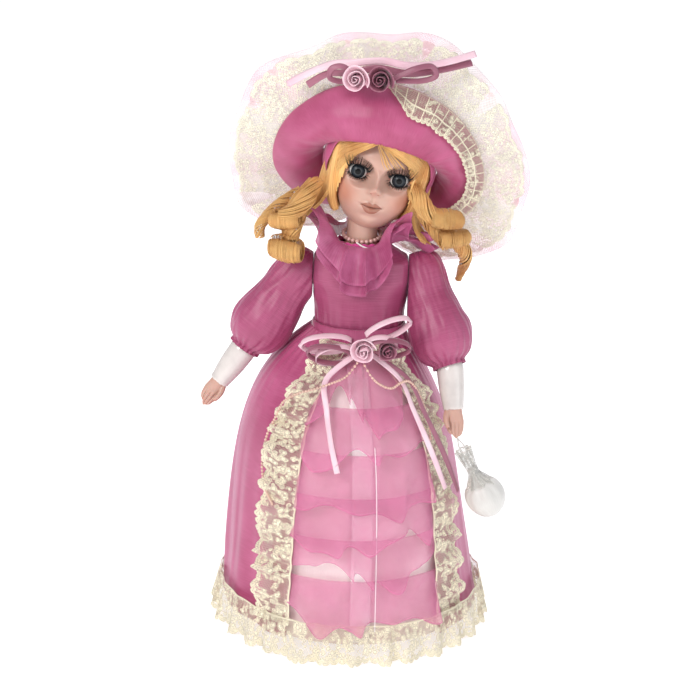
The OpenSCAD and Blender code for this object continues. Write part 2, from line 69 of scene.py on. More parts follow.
class DollColours(bpy.types.PropertyGroup):
    """Colours of the doll's cloth, hair, porcelain and trim."""

    # Gown and bodice colours: the lighter and darker thread of each taffeta, set to the tones of the cloth's
    # painted lit and shaded sides.
    gown_light: colour("Gown light thread and lit side", "Lighter thread of the skirt's taffeta", (0.58, 0.125, 0.275))
    gown_dark: colour("Gown dark thread and shaded side", "Darker thread of the skirt's taffeta", (0.36, 0.040, 0.130))
    bodice_light: colour("Bodice light thread and lit side", "Lighter thread of bodice and sleeves", (0.50, 0.110, 0.235))
    bodice_dark: colour("Bodice dark thread and shaded side", "Darker thread of bodice and sleeves", (0.30, 0.038, 0.112))
    hat_light: colour("Hat light", "Lit side of the hat's satin", (0.52, 0.105, 0.235))
    hat_dark: colour("Hat dark", "Shaded side of the hat's satin", (0.34, 0.040, 0.115))
    tier_light: colour("Ruffle light", "Lighter organza of the front ruffles", (0.84, 0.27, 0.48))
    tier_dark: colour("Ruffle dark", "Darker organza of the front ruffles", (0.74, 0.20, 0.39))
    front_light: colour("Front panel light", "Lit satin behind the ruffles", (0.90, 0.76, 0.75))
    front_dark: colour("Front panel dark", "Shaded satin behind the ruffles", (0.80, 0.58, 0.62))
    collar_light: colour("Collar light", "Lighter organza of the collar", (0.66, 0.18, 0.36))
    collar_dark: colour("Collar dark", "Darker organza of the collar", (0.48, 0.09, 0.22))
    pale_light: colour("Pale ribbon light", "Lit side of the pale satin ribbon", (0.94, 0.70, 0.77))
    pale_dark: colour("Pale ribbon dark", "Shaded side of the pale satin ribbon", (0.82, 0.48, 0.58))
    mauve_light: colour("Mauve ribbon light", "Lit side of the mauve satin ribbon", (0.42, 0.155, 0.222))
    mauve_dark: colour("Mauve ribbon dark", "Shaded side of the mauve satin ribbon", (0.24, 0.070, 0.115))
    tulle_light: colour("Tulle light", "Lighter tulle of the veil", (0.97, 0.90, 0.90))
    tulle_dark: colour("Tulle dark", "Pinker tulle of the veil", (0.92, 0.58, 0.68))
    veil_lace: colour("Veil lace", "Net lace over the veil", (0.96, 0.92, 0.76))
    lace: colour("Cream lace", "Lace of the edges, hem and brim", (0.95, 0.87, 0.66))
    # Hair light and dark: strand colours set to the tones of the wig's painted highlights and shade.
    hair_light: colour("Hair light", "Light strands of the wig, in the tone of its painted highlights", (1.0, 0.64, 0.24))
    hair_dark: colour("Hair dark", "Dark strands of the wig, in the tone of its painted shade", (0.60, 0.235, 0.055))
    hair_warm: colour("Hair warm", "Orange tint of the wig", (0.88, 0.32, 0.08))
    glaze: colour("Forearm glaze", "White glaze of the forearms", (0.76, 0.70, 0.67))
    hand: colour("Hand bisque", "Tinted bisque of the hands", (0.60, 0.36, 0.29))
    bag_light: colour("Bag light", "Lit side of the bag's satin", (0.80, 0.79, 0.76))
    bag_dark: colour("Bag dark", "Shaded side of the bag's satin", (0.64, 0.62, 0.59))
    bead: colour("Beads", "Beads of the strings at the waist", (0.78, 0.52, 0.42))
    pearl: colour("Pearls", "Pearls of the necklace", (0.74, 0.44, 0.40))
    boot: colour("Boots", "Leather of the boots", (0.09, 0.025, 0.045))


class DollSizes(bpy.types.PropertyGroup):
    """Sizes and counts of the doll's soft details."""

    fold_depth: length(
        "Skirt fold depth", "How far the skirt's folds stand out at the hem", 0.006, 0.0, 0.010
    )
    tier_ruffle: length("Ruffle depth", "How far the front ruffles wave at their hems", 0.0034, 0.0005, 0.004)
    hem_ruffle: length("Hem lace depth", "How far the hem lace waves at its edge", 0.003, 0.0005, 0.005)
    edging_width: length("Edging width", "Width of the lace beside the front panel", 0.031, 0.020, 0.036)
    collar_ruffle: length("Collar fold depth", "How far the collar's folds wave", 0.0048, 0.001, 0.006)
    lash_length: length("Lash length", "Length of the upper lashes", 0.0070, 0.002, 0.009)
    lash_count: IntProperty(
        name="Lash count", description="Upper lashes of one eye", default=36, min=10, max=120
    )
    fringe_locks: IntProperty(
        name="Fringe locks", description="Locks on each side of the parting", default=54, min=8, max=90
    )
    sleeve_pleats: IntProperty(
        name="Sleeve pleats", description="Pleats round a sleeve's head and cuff", default=17, min=6,
        max=30
    )


def sizes():
    return bpy.context.scene.doll_sizes


def tone(name):
    """A colour setting as a plain triple."""
    return tuple(getattr(bpy.context.scene.doll_colours, name))


def span(name):
    """A length setting in millimetres."""
    return 1000 * getattr(sizes(), name)


# ---- Sizes that the pieces share, in millimetres and degrees ------------------------------------

NECK_Z = 308.0
SHOULDER_Z = 276.0
SHOULDER_X = 47.0
WAIST_Z = 235.0
ARMHOLE_X = 36.35
HEAD_Z = 52.0
HEM_CLEAR = 14.0
SKIRT_LEN = WAIST_Z - HEM_CLEAR
EYE = (15.5, -18.1, HEAD_Z - 1.7)
EYE_R = 7.6
FOREARM_DROP = 74.0
WELD = 1e-4  # vertices closer than this are joined

HEAD = Matrix.Translation((0, 0, NECK_Z)) @ Matrix.Rotation(math.radians(12), 4, "Y")


def arm_matrix(side):
    """The frame of one arm, hanging down from its shoulder; side is -1 for the doll's right."""
    spread, forward = (34, 6) if side < 0 else (-20, 24)
    return (
        Matrix.Translation((side * SHOULDER_X, 0, SHOULDER_Z))
        @ Matrix.Rotation(math.radians(spread), 4, "Y")
        @ Matrix.Rotation(math.radians(-forward), 4, "X")
    )


def forearm_matrix(side):
    bend = 1 if side < 0 else 12
    drop = Matrix.Translation((0, 0, -FOREARM_DROP))
    return arm_matrix(side) @ drop @ Matrix.Rotation(math.radians(bend), 4, "Y")


BAG = Matrix.Translation((77.1, -49.3, 164.3)) @ Matrix.Rotation(math.radians(-27), 4, "Y")


# ---- Plain maths ----------------------------------------------------------------------------------


def mix(a, b, k):
    return a + (b - a) * k


def ease(x, low, high):
    """0 below low, 1 above high, and a smooth step between."""
    t = min(max((x - low) / (high - low), 0.0), 1.0)
    return t * t * (3 - 2 * t)


def bell(x, width):
    return math.exp(-((x / width) ** 2))


def wave(degrees):
    return math.sin(math.radians(degrees))


def ring_point(a, r, z, slim=1.0):
    """A point on a ring round the upright axis; 0 degrees faces the front, 90 the doll's left."""
    return Vector((r * wave(a), -r * slim * wave(a + 90), z))


def squared(value, power):
    """The sine of a rounded box instead of a circle's; power below 1 squares the corners."""
    return math.copysign(abs(value) ** power, value)


def waver(x, y=0.0, z=0.0):
    """Smooth noise from -1 to 1."""
    return noise.noise(Vector((x, y, z)))


def ring_noise(a, k, size, seed):
    """Smooth noise over an angle in degrees, the same at 0 and 360."""
    t = math.radians(a)
    return waver(size * math.cos(t) + seed, size * math.sin(t) - seed, k)


def profile(pairs, x):
    """Reads a smooth curve through (x, value) pairs."""
    if x <= pairs[0][0]:
        return pairs[0][1]
    for (x0, y0), (x1, y1) in zip(pairs, pairs[1:]):
        if x <= x1:
            return mix(y0, y1, ease(x, x0, x1) * 0.5 + 0.5 * (x - x0) / (x1 - x0))
    return pairs[-1][1]


def along(points, k):
    """The point a share k of the way along a smooth curve through the points."""
    last = len(points) - 1
    x = min(max(k, 0.0), 1.0) * last
    i = min(int(x), last - 1)
    t = x - i
    a, b, c, d = (Vector(points[min(max(i + j, 0), last)]) for j in (-1, 0, 1, 2))
    bend = (2 * a - 5 * b + 4 * c - d) * t * t + (3 * b - a - 3 * c + d) * t**3
    return 0.5 * (2 * b + (c - a) * t + bend)


def frames(points, count, start):
    """Points along a curve, each with its heading and two directions square to it."""
    line = [along(points, i / count) for i in range(count + 1)]
    side = Vector(start)
    rows = []
    for i, p in enumerate(line):
        ahead = (line[min(i + 1, count)] - line[max(i - 1, 0)]).normalized()
        side = (side - ahead * side.dot(ahead)).normalized()
        rows.append((p, ahead, side, ahead.cross(side)))
    return rows


def length_of(points):
    return sum((Vector(b) - Vector(a)).length for a, b in zip(points, points[1:]))


# ---- Building meshes --------------------------------------------------------------------------------


class Piece:
    """One named piece, built from patches in millimetres."""

    def __init__(self, name):
        self.name = name
        self.mesh = bmesh.new()
        self.uv = self.mesh.loops.layers.uv.new("UVMap")

    def patch(self, across, down, place, size=(1.0, 1.0), closed=False):
        """A grid whose vertex at shares (u, v) is moved to place(u, v)."""
        made = bmesh.ops.create_grid(
            self.mesh, x_segments=across, y_segments=down, size=0.5, calc_uvs=True
        )["verts"]
        faces = {f for v in made for f in v.link_faces}
        for face in faces:
            face.smooth = True
            for loop in face.loops:
                at = loop.vert.co
                loop[self.uv].uv = ((at.x + 0.5) * size[0], (at.y + 0.5) * size[1])
        for v in made:
            v.co = place(v.co.x + 0.5, v.co.y + 0.5)
        if closed:
            bmesh.ops.remove_doubles(self.mesh, verts=made, dist=WELD)
            whole = [f for f in faces if f.is_valid]
            bmesh.ops.recalc_face_normals(self.mesh, faces=whole)

    def tube(self, points, radius, sides=8, rings=24, flat=1.0, start=(0, 1, 0)):
        """A round or oval tube with closed ends; radius may be a function of the share along."""
        rows = frames(points, rings, start)

        def place(u, v):
            x = round(v * (rings + 2)) - 1
            i = min(max(x, 0), rings)
            p, _, side, over = rows[i]
            if x != i:
                return p
            r = radius(i / rings) if callable(radius) else radius
            t = 2 * math.pi * u
            return p + (side * math.cos(t) * flat + over * math.sin(t)) * r

        self.patch(sides, rings + 2, place, (1.0, length_of(points)), closed=True)

    def ribbon(self, points, width, rings=40, face=(0, -1, 0), cup=0.0, across=4):
        """A flat ribbon along the points, its front turned towards face."""
        rows = frames(points, rings, (0, 0, 1))

        def place(u, v):
            i = round(v * rings)
            p, ahead, _, _ = rows[i]
            front = Vector(face(v) if callable(face) else face)
            side = ahead.cross(front).normalized()
            out = side.cross(ahead)
            w = width(v) if callable(width) else width
            return p + side * (u - 0.5) * w + out * cup * w * (0.25 - (u - 0.5) ** 2)

        self.patch(across, rings, place, (10.0, length_of(points)))

    def weld(self, outward=False):
        """Joins vertices that meet; outward also turns every face to the outside."""
        bmesh.ops.remove_doubles(self.mesh, verts=self.mesh.verts, dist=WELD)
        if outward:
            bmesh.ops.recalc_face_normals(self.mesh, faces=self.mesh.faces)

    def ball(self, centre, radius, detail=1):
        move = Matrix.Translation(centre)
        made = bmesh.ops.create_icosphere(
            self.mesh, subdivisions=detail, radius=radius, matrix=move, calc_uvs=False
        )
        for v in made["verts"]:
            for face in v.link_faces:
                face.smooth = True

    def done(self, body, paint, slot, replaced=(), thick=0.0, place=None):
        """Makes the object, scaled to metres, and lets it ride on a body."""
        if place is not None:
            bmesh.ops.transform(self.mesh, matrix=place, verts=self.mesh.verts)
        bmesh.ops.scale(self.mesh, vec=(0.001, 0.001, 0.001), verts=self.mesh.verts)
        data = bpy.data.meshes.new(self.name)
        self.mesh.to_mesh(data)
        self.mesh.free()
        obj = bpy.data.objects.new(self.name, data)
        bpy.context.scene.collection.objects.link(obj)
        data.materials.append(paint)
        if thick:
            shell = obj.modifiers.new("thickness", "SOLIDIFY")
            shell.thickness = thick * 0.001
            shell.offset = 0.0
        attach(obj, body)
        if replaced:
            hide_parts(*replaced)
        return obj


# ---- Shader maths -----------------------------------------------------------------------------------


class Field:
    """A number or vector that varies over a surface, with the usual arithmetic."""

    def __init__(self, paint, socket):
        self.paint = paint
        self.socket = socket

    def maths(self, kind, *others, swap=False):
        node = self.paint.add("ShaderNodeMath", operation=kind)
        inputs = [self, *others]
        if swap:
            inputs.reverse()
        for slot, value in zip(node.inputs, inputs):
            self.paint.plug(value, slot)
        return Field(self.paint, node.outputs[0])

    def __add__(self, other):
        return self.maths("ADD", other)

    def __sub__(self, other):
        return self.maths("SUBTRACT", other)

    def __mul__(self, other):
        return self.maths("MULTIPLY", other)

    def __truediv__(self, other):
        return self.maths("DIVIDE", other)

    def __pow__(self, other):
        return self.maths("POWER", other)

    def __radd__(self, other):
        return self.maths("ADD", other, swap=True)

    def __rsub__(self, other):
        return self.maths("SUBTRACT", other, swap=True)

    def __rmul__(self, other):
        return self.maths("MULTIPLY", other, swap=True)

    def __rtruediv__(self, other):
        return self.maths("DIVIDE", other, swap=True)

    def sine(self):
        return self.maths("SINE")

    def size(self):
        return self.maths("ABSOLUTE")

    def root(self):
        return self.maths("SQRT")

    def fraction(self):
        return self.maths("FRACT")

    def least(self, other):
        return self.maths("MINIMUM", other)

    def most(self, other):
        return self.maths("MAXIMUM", other)

    def angle(self, other):
        return self.maths("ARCTAN2", other)

    def step(self, low, high):
        """0 below low, 1 above high, with a smooth step between."""
        node = self.paint.add("ShaderNodeMapRange", interpolation_type="SMOOTHSTEP")
        self.paint.plug(self, node.inputs["Value"])
        node.inputs["From Min"].default_value = min(low, high)
        node.inputs["From Max"].default_value = max(low, high)
        node.inputs["To Min"].default_value = 0.0 if low < high else 1.0
        node.inputs["To Max"].default_value = 1.0 if low < high else 0.0
        return Field(self.paint, node.outputs["Result"])

    def split(self):
        node = self.paint.add("ShaderNodeSeparateXYZ")
        self.paint.plug(self, node.inputs[0])
        return tuple(Field(self.paint, out) for out in node.outputs)


class Paint:
    """A procedural material, written as sums of fields."""

    def __init__(self, name):
        self.material = bpy.data.materials.new(name)
        self.material.use_nodes = True
        self.tree = self.material.node_tree
        self.shader = self.tree.nodes["Principled BSDF"]

    def add(self, kind, **settings):
        node = self.tree.nodes.new(kind)
        for key, value in settings.items():
            setattr(node, key, value)
        return node

    def plug(self, value, socket):
        if isinstance(value, Field):
            self.tree.links.new(value.socket, socket)
        else:
            socket.default_value = value

    def at(self, kind="Object"):
        return Field(self, self.add("ShaderNodeTexCoord").outputs[kind])

    def uv(self):
        return self.at("UV").split()[:2]

    def local(self, matrix):
        """Places in millimetres in the frame of the matrix."""
        node = self.add("ShaderNodeMapping", vector_type="TEXTURE")
        self.plug(self.at(), node.inputs["Vector"])
        node.inputs["Location"].default_value = matrix.translation * 0.001
        node.inputs["Rotation"].default_value = matrix.to_euler()
        node.inputs["Scale"].default_value = (0.001, 0.001, 0.001)
        return Field(self, node.outputs[0])

    def join(self, x, y, z=0.0):
        node = self.add("ShaderNodeCombineXYZ")
        for value, socket in zip((x, y, z), node.inputs):
            self.plug(value, socket)
        return Field(self, node.outputs[0])

    def noise(self, at, scale, detail=2.0, rough=0.5):
        node = self.add("ShaderNodeTexNoise")
        self.plug(at, node.inputs["Vector"])
        node.inputs["Scale"].default_value = scale
        node.inputs["Detail"].default_value = detail
        node.inputs["Roughness"].default_value = rough
        return Field(self, node.outputs["Fac"])

    def cells(self, at, scale, feature="F1"):
        node = self.add("ShaderNodeTexVoronoi", feature=feature)
        self.plug(at, node.inputs["Vector"])
        node.inputs["Scale"].default_value = scale
        return Field(self, node.outputs["Distance"])

    def blend(self, a, b, share):
        node = self.add("ShaderNodeMix", data_type="RGBA")
        for value, socket in ((share, node.inputs[0]), (a, node.inputs[6]), (b, node.inputs[7])):
            self.plug((*value, 1.0) if isinstance(value, tuple) else value, socket)
        return Field(self, node.outputs[2])

    def relief(self, height, depth, strength=1.0):
        """Raised detail; depth is in metres."""
        node = self.add("ShaderNodeBump")
        self.plug(height, node.inputs["Height"])
        node.inputs["Distance"].default_value = depth
        node.inputs["Strength"].default_value = strength
        self.tree.links.new(node.outputs[0], self.shader.inputs["Normal"])

    def set(self, **values):
        names = {
            "base": "Base Color", "rough": "Roughness", "metal": "Metallic", "alpha": "Alpha",
            "coat": "Coat Weight", "coat_rough": "Coat Roughness", "sheen": "Sheen Weight",
            "sheen_rough": "Sheen Roughness", "sheen_tint": "Sheen Tint", "ior": "IOR",
            "skin": "Subsurface Weight", "skin_depth": "Subsurface Scale",
            "skin_colour": "Subsurface Radius", "shine": "Specular IOR Level", "glow": "Emission Strength",
        }
        for key, value in values.items():
            colour = key in ("base", "sheen_tint") and isinstance(value, tuple)
            self.plug((*value, 1.0) if colour else value, self.shader.inputs[names[key]])
        return self.material


def threads(paint, pitch):
    """Crossing threads of a weave, as a height from 0 to 1, from the cloth's own millimetres."""
    u, v = paint.uv()
    turns = 2 * math.pi / pitch
    return 0.5 + 0.25 * (u * turns).sine() + 0.25 * (v * turns).sine()


def taffeta(name, light, dark, pitch=0.9, shine=0.34):
    """Shot taffeta: crisp, with slubs across and two colours of thread, which are the painted lit and shaded
    tones of the cloth.
    """
    paint = Paint(name)
    u, v = paint.uv()
    slubs = paint.noise(paint.join(u * 0.04, v * 1.6), 1.0, 3.0)
    clouds = paint.noise(paint.at(), 28.0, 3.0)
    weave = threads(paint, pitch)
    share = (clouds * 0.7 + slubs * 0.5 + weave * 0.2 - 0.35).step(0.0, 0.75)
    paint.relief(weave * 0.5 + slubs, 0.0002, 0.5)
    rough = shine - 0.04 + 0.18 * slubs
    # The base mixes the painted lit tone and the painted shaded tone in clouds, slubs and threads.
    return paint.set(
        base=paint.blend(dark, light, share), rough=rough, sheen=0.5, sheen_rough=0.3,
        sheen_tint=(1.0, 0.62, 0.85), shine=0.55,
    )


def satin(name, light, dark, shine=0.3):
    """Smooth satin with fine long floats."""
    paint = Paint(name)
    u, v = paint.uv()
    floats = paint.noise(paint.join(u * 3.0, v * 0.15), 1.0, 2.0)
    clouds = paint.noise(paint.at(), 40.0, 2.0)
    paint.relief(floats + 0.3 * clouds, 0.00015, 0.5)
    # The base mixes the painted lit and shaded tones of the satin in clouds and floats.
    return paint.set(
        base=paint.blend(dark, light, (clouds * 0.8 + floats * 0.5 - 0.15).step(0.1, 0.8)),
        rough=shine + 0.12 * floats, sheen=0.35, sheen_rough=0.35, shine=0.5,
    )


def organza(name, light, dark, cover=0.62, depth=36.0):
    """Thin crisp organza that shows what lies behind it; its hem is at v = depth millimetres."""
    paint = Paint(name)
    weave = threads(paint, 0.7)
    clouds = paint.noise(paint.at(), 60.0, 3.0)
    _, v = paint.uv()
    hem = v.step(depth - 1.6, depth - 1.0)
    paint.relief(weave, 0.0001, 0.4)
    return paint.set(
        base=paint.blend(dark, light, clouds.step(0.3, 0.7)), rough=0.42,
        alpha=(cover + 0.14 * weave + 0.16 * clouds + 0.12 * hem).least(1.0),
        sheen=0.4, sheen_rough=0.3, sheen_tint=(1.0, 0.75, 0.85), shine=0.45,
    )


def lace(name, colour, width, pitch=1.7, flowers=0.5, bars=0.0, tall=7.0):
    """Net lace with stitched flowers and a scalloped border whose edge is at v = width millimetres."""
    paint = Paint(name)
    u, v = paint.uv()
    turns = math.pi / pitch
    slant = (u + v * 0.6) * turns
    other = (u - v * 0.6) * turns
    net = slant.sine().size().step(0.36, 0.14).most(other.sine().size().step(0.36, 0.14)) * 0.85
    place = paint.join(u, v)
    petals = paint.cells(place, 0.27)
    patches = paint.noise(paint.join(u * 0.09, v * 0.09), 1.0, 2.0).step(0.97 - flowers, 1.01 - flowers)
    rings = (petals * 19.0 + paint.noise(place, 0.8, 1.0) * 6.0).sine().step(-0.5, 0.0)
    flower = patches * (0.35 + 0.65 * rings) * petals.step(0.62, 0.55)
    scallop = (u * (math.pi / tall)).sine().size().root()
    edge = width - 2.6 + 2.6 * scallop
    band = (v - edge + 3.6).step(0.0, 0.5)
    loops = (
        ((v - edge + 1.9) * 1.6).size().least(((u * (2 * math.pi / 2.3)).sine() * 0.9).size())
        .step(0.28, 0.45)
    )
    solid = net.most(flower).most(band * (0.45 + 0.55 * loops)).most(v.step(1.4, 0.9))
    if bars:
        solid = solid.most((u / bars).fraction().step(0.10, 0.08)).most(
            (v - width * 0.52).size().step(0.9, 0.6)
        )
    inside = (v - edge).step(0.25, 0.0)
    knots = paint.cells(place, 1.4)
    paint.relief(knots + solid, 0.0003, 0.7)
    shade = paint.noise(paint.at(), 50.0, 2.0)
    dark = tuple(0.86 * c for c in colour)
    return paint.set(
        base=paint.blend(dark, colour, shade.step(0.2, 0.6)), rough=0.8,
        alpha=(solid * inside * 0.96).least(1.0), sheen=0.2,
    )


def tulle(name, light, dark, cover):
    """Fine net seen as thin crossing threads."""
    paint = Paint(name)
    u, v = paint.uv()
    a = ((u + v) * 1.9).sine().size().step(0.62, 0.2)
    b = ((u - v) * 1.9).sine().size().step(0.62, 0.2)
    folds = paint.noise(paint.join(u * 0.05, v * 0.01), 1.0, 2.0)
    mesh_cover = a.most(b) * 0.45 + cover + 0.35 * (folds - 0.5)
    return paint.set(
        base=paint.blend(dark, light, folds.step(0.3, 0.65)), rough=0.7,
        alpha=mesh_cover.least(1.0).most(0.0), sheen=0.3,
    )


def hair(name, light, dark, warm):
    """Combed hair: fine streaks along each lock, coloured with painted highlights and shade."""
    paint = Paint(name)
    u, v = paint.uv()
    turn = u * (2 * math.pi)
    round_u = paint.join(turn.sine() * 4.0, (turn + math.pi / 2).sine() * 4.0, v * 0.02)
    streaks = paint.noise(round_u, 2.2, 3.0, 0.7)
    clouds = paint.noise(paint.at(), 55.0, 2.0)
    # The streaks mix a painted highlight tone and a painted shade tone.
    first = paint.blend(dark, light, (streaks + 0.5 * clouds - 0.25).step(0.32, 0.62))
    paint.relief(streaks, 0.0006, 0.9)
    return paint.set(
        base=paint.blend(first, warm, clouds.step(0.5, 0.75) * 0.45), rough=0.32 + 0.2 * streaks,
        sheen=0.05, sheen_rough=0.3, shine=0.55,
    )


def smooth_paint(name, colour, rough=0.5, **more):
    """An even colour with a trace of cloudiness."""
    paint = Paint(name)
    clouds = paint.noise(paint.at(), 90.0, 3.0)
    dark = tuple(0.86 * c for c in colour)
    return paint.set(
        base=paint.blend(dark, colour, clouds.step(0.25, 0.7)), rough=rough + 0.1 * clouds, **more
    )


SKIN = (0.62, 0.375, 0.300)
BLUSH = (0.62, 0.21, 0.13)


def skin_paint(name, colour, rough=0.38):
    """Tinted bisque with a soft glow."""
    paint = Paint(name)
    clouds = paint.noise(paint.at(), 70.0, 3.0)
    warm = tuple(mix(c, b, 0.25) for c, b in zip(colour, BLUSH))
    paint.relief(paint.noise(paint.at(), 2500.0, 2.0), 0.00002, 0.5)
    return paint.set(
        base=paint.blend(colour, warm, clouds.step(0.45, 0.8) * 0.5), rough=rough,
        skin=0.12, skin_depth=0.004, coat=0.12, coat_rough=0.3,
    )


def face_paint():
    """The painted face: brows, shadow round the eyes, painted lashes, blush and lips."""
    paint = Paint("painted bisque")
    x, y, z = paint.local(HEAD).split()
    side = x.size()
    front = y.step(-6.0, -12.0)
    eye_x, eye_z = side - EYE[0], z - EYE[2]
    round_eye = ((eye_x / 6.65) ** 2.0 + (eye_z / 4.85) ** 2.0).root()
    clouds = paint.noise(paint.at(), 90.0, 3.0)
    colour = paint.blend(SKIN, tuple(0.93 * c for c in SKIN), clouds.step(0.4, 0.8))

    def spot(at_x, at_z, wide, tall):
        return (((side - at_x) / wide) ** 2.0 + ((z - at_z) / tall) ** 2.0).root()

    def over(tint, share):
        return paint.blend(colour, tint, share * front)

    colour = over((0.62, 0.215, 0.135), spot(22.0, 33.0, 13.0, 12.0).step(1.15, 0.1) * 0.55)
    colour = over((0.62, 0.27, 0.20), spot(0.0, 9.0, 9.0, 6.0).step(1.0, 0.0) * 0.35)
    colour = over((0.56, 0.25, 0.18), spot(0.0, 40.0, 6.0, 6.0).step(1.0, 0.1) * 0.3)
    shadow = (((eye_x - 0.5) / 9.6) ** 2.0 + ((eye_z - 0.8) / 7.4) ** 2.0).root()
    colour = over((0.28, 0.18, 0.165), shadow.step(1.1, 0.5) * 0.30)
    lid = round_eye.step(1.26, 1.06) * eye_z.step(-2.2, 0.6)
    colour = over((0.06, 0.035, 0.03), lid * 0.9)
    under = round_eye.step(1.16, 1.04) * eye_z.step(0.5, -1.0)
    colour = over((0.20, 0.10, 0.09), under * 0.65)
    fan = eye_z.angle(eye_x) * 30.0
    strokes = fan.sine().step(0.1, 0.6) * round_eye.step(1.75, 1.1) * eye_z.step(-0.5, -2.2)
    colour = over((0.07, 0.04, 0.035), strokes * 0.85)
    brow_line = z - (64.6 - ((side - 14.5) / 9.0) ** 2.0 * 2.6)
    hairs = paint.noise(paint.join(side * 0.9, z * 0.9 - side * 0.5), 2.0, 2.0)
    brow = brow_line.size().step(1.5, 0.2) * side.step(5.0, 8.0) * side.step(25.0, 20.0)
    colour = over((0.30, 0.16, 0.10), brow * hairs.step(0.3, 0.6) * 0.12)
    bow = 4.2 * (1.0 - (x / 8.6) ** 2.0) - 1.3 * (0.0 - (x / 1.7) ** 2.0).maths("EXPONENT")
    top_lip = (z - 27.4 - bow).step(0.45, -0.25) * (z - 27.3).step(-0.1, 0.3)
    bottom = 5.3 * (1.0 - (x / 7.2) ** 2.0)
    low_lip = (27.4 - z - bottom).step(0.5, -0.3) * (27.5 - z).step(-0.1, 0.3)
    lips = top_lip.most(low_lip) * side.step(8.8, 7.8)
    colour = over((0.36, 0.135, 0.085), lips * 0.88)
    seam = (z - 27.4 - (x / 9.0) ** 2.0).size().step(0.55, 0.1) * side.step(8.6, 7.0)
    colour = over((0.14, 0.035, 0.025), seam * 0.85)
    colour = over((0.45, 0.12, 0.10), spot(2.6, 38.5, 1.1, 0.7).step(1.1, 0.4) * 0.8)
    colour = over((0.60, 0.14, 0.12), spot(9.1, 49.5, 0.8, 0.9).step(1.1, 0.5) * 0.8)
    paint.relief(paint.noise(paint.at(), 2500.0, 2.0), 0.00002, 0.4)
    return paint.set(
        base=colour, rough=0.36 - 0.12 * lips * front, skin=0.1, skin_depth=0.004,
        coat=0.15, coat_rough=0.3,
    )


def eye_paint():
    """Glass eyes: a grey-blue iris with fine spokes, a dark rim, a pupil, and a white with painted shade at
    its edge.
    """
    paint = Paint("glass eye")
    x, y, z = paint.local(HEAD).split()
    at_x, at_z = x.size() - EYE[0], z - EYE[2]
    out = (at_x * at_x + at_z * at_z).root()
    turn = at_z.angle(at_x)
    spokes = paint.noise(paint.join(turn * 4.0, out * 0.5), 3.0, 3.0, 0.7)
    iris = paint.blend(
        (0.008, 0.011, 0.015), (0.042, 0.055, 0.070), (spokes * 1.4 - out * 0.03).step(0.35, 1.0)
    )
    iris = paint.blend(iris, (0.075, 0.078, 0.08), out.step(3.6, 2.4) * 0.5)
    iris = paint.blend(iris, (0.012, 0.014, 0.02), out.step(3.9, 4.9))
    iris = paint.blend(iris, (0.004, 0.004, 0.005), out.step(2.35, 2.0))
    # The white darkens and warms towards its edge: painted shade under the lids and in the corners.
    white = paint.blend((0.66, 0.64, 0.62), (0.46, 0.36, 0.34), out.step(6.0, 7.4))
    front = y.step(-18.5, -20.0)
    colour = paint.blend(iris, white, out.step(5.15, 5.5))
    return paint.set(
        base=paint.blend((0.7, 0.68, 0.66), colour, front), rough=0.22, coat=0.0, shine=0.22,
    )


# ---- Head --------------------------------------------------------------------------------------------

HEAD_MIDDLE = Vector((0, 0, 50))


def reach(d, centre, radii):
    """How far a ray from the middle of the head goes before it leaves an ellipsoid."""
    o = HEAD_MIDDLE - Vector(centre)
    o = Vector([a / r for a, r in zip(o, radii)])
    d = Vector([a / r for a, r in zip(d, radii)])
    a, b, c = d.dot(d), o.dot(d), o.dot(o) - 1
    return (-b + math.sqrt(max(b * b - a * c, 0))) / a


def direction(a, b):
    """The direction at a degrees from the brow towards the doll's left, and b degrees up."""
    a, b = math.radians(a), math.radians(b)
    return Vector((math.sin(a) * math.cos(b), -math.cos(a) * math.cos(b), math.sin(b)))


def head_shell(d, out=0.0):
    """The plain head's surface in direction d, grown by out."""
    skull = reach(d, (0, 4, 58), (33, 33, 33))
    face = reach(d, (0, -3, 43), (29, 27.5, 37))
    blend = 2.5 * math.log(math.exp(skull / 2.5) + math.exp(face / 2.5) - 1)
    return HEAD_MIDDLE + d * (min(blend, max(skull, face) + 0.6) + out)


def features(x, z):
    """How far the face stands forward of the plain head at x and z."""
    s = abs(x)
    nose = 6.2 * bell(x, 4.1) * bell(z - 41.0, 4.0) + 2.2 * bell(x, 3.4) * ease(z, 39, 44) * ease(z, 57, 47)
    wings = 2.7 * bell(s - 4.0, 2.0) * bell(z - 39.6, 2.3)
    brow = 1.0 * bell(z - 62.5, 5) * bell(s - 12, 12)
    socket = -2.4 * bell(s - 15.5, 9.0) * bell(z - 52.3, 6.8) - 1.0 * bell(s - 7.5, 3) * bell(z - 51.3, 5)
    cheek = 3.0 * bell(s - 17.0, 9.0) * bell(z - 31, 9.5)
    muzzle = 2.2 * bell(x, 10) * bell(z - 27, 8.0)
    bow = 1.0 - 0.45 * bell(x, 1.3)
    upper = 2.1 * bow * bell(x, 5.6) * bell(z - 29.8, 1.8)
    lower = 2.5 * bell(x, 4.9) * bell(z - 24.6, 2.3)
    seam = -1.5 * bell(x, 7.0) * bell(z - 27.4 - (x / 9) ** 2, 0.55)
    corner = -0.9 * bell(s - 8.2, 1.2) * bell(z - 28.0, 1.2)
    groove = -0.7 * bell(x, 1.3) * bell(z - 34, 3)
    chin = 2.8 * bell(x, 7.0) * bell(z - 13.5, 5.0) - 1.1 * bell(x, 6) * bell(z - 19.6, 1.8)
    nostril = -1.3 * bell(s - 2.6, 0.8) * bell(z - 38.4, 0.6)
    return (
        nose + wings + brow + socket + cheek + muzzle + upper + lower + seam + corner + groove + chin
        + nostril
    )


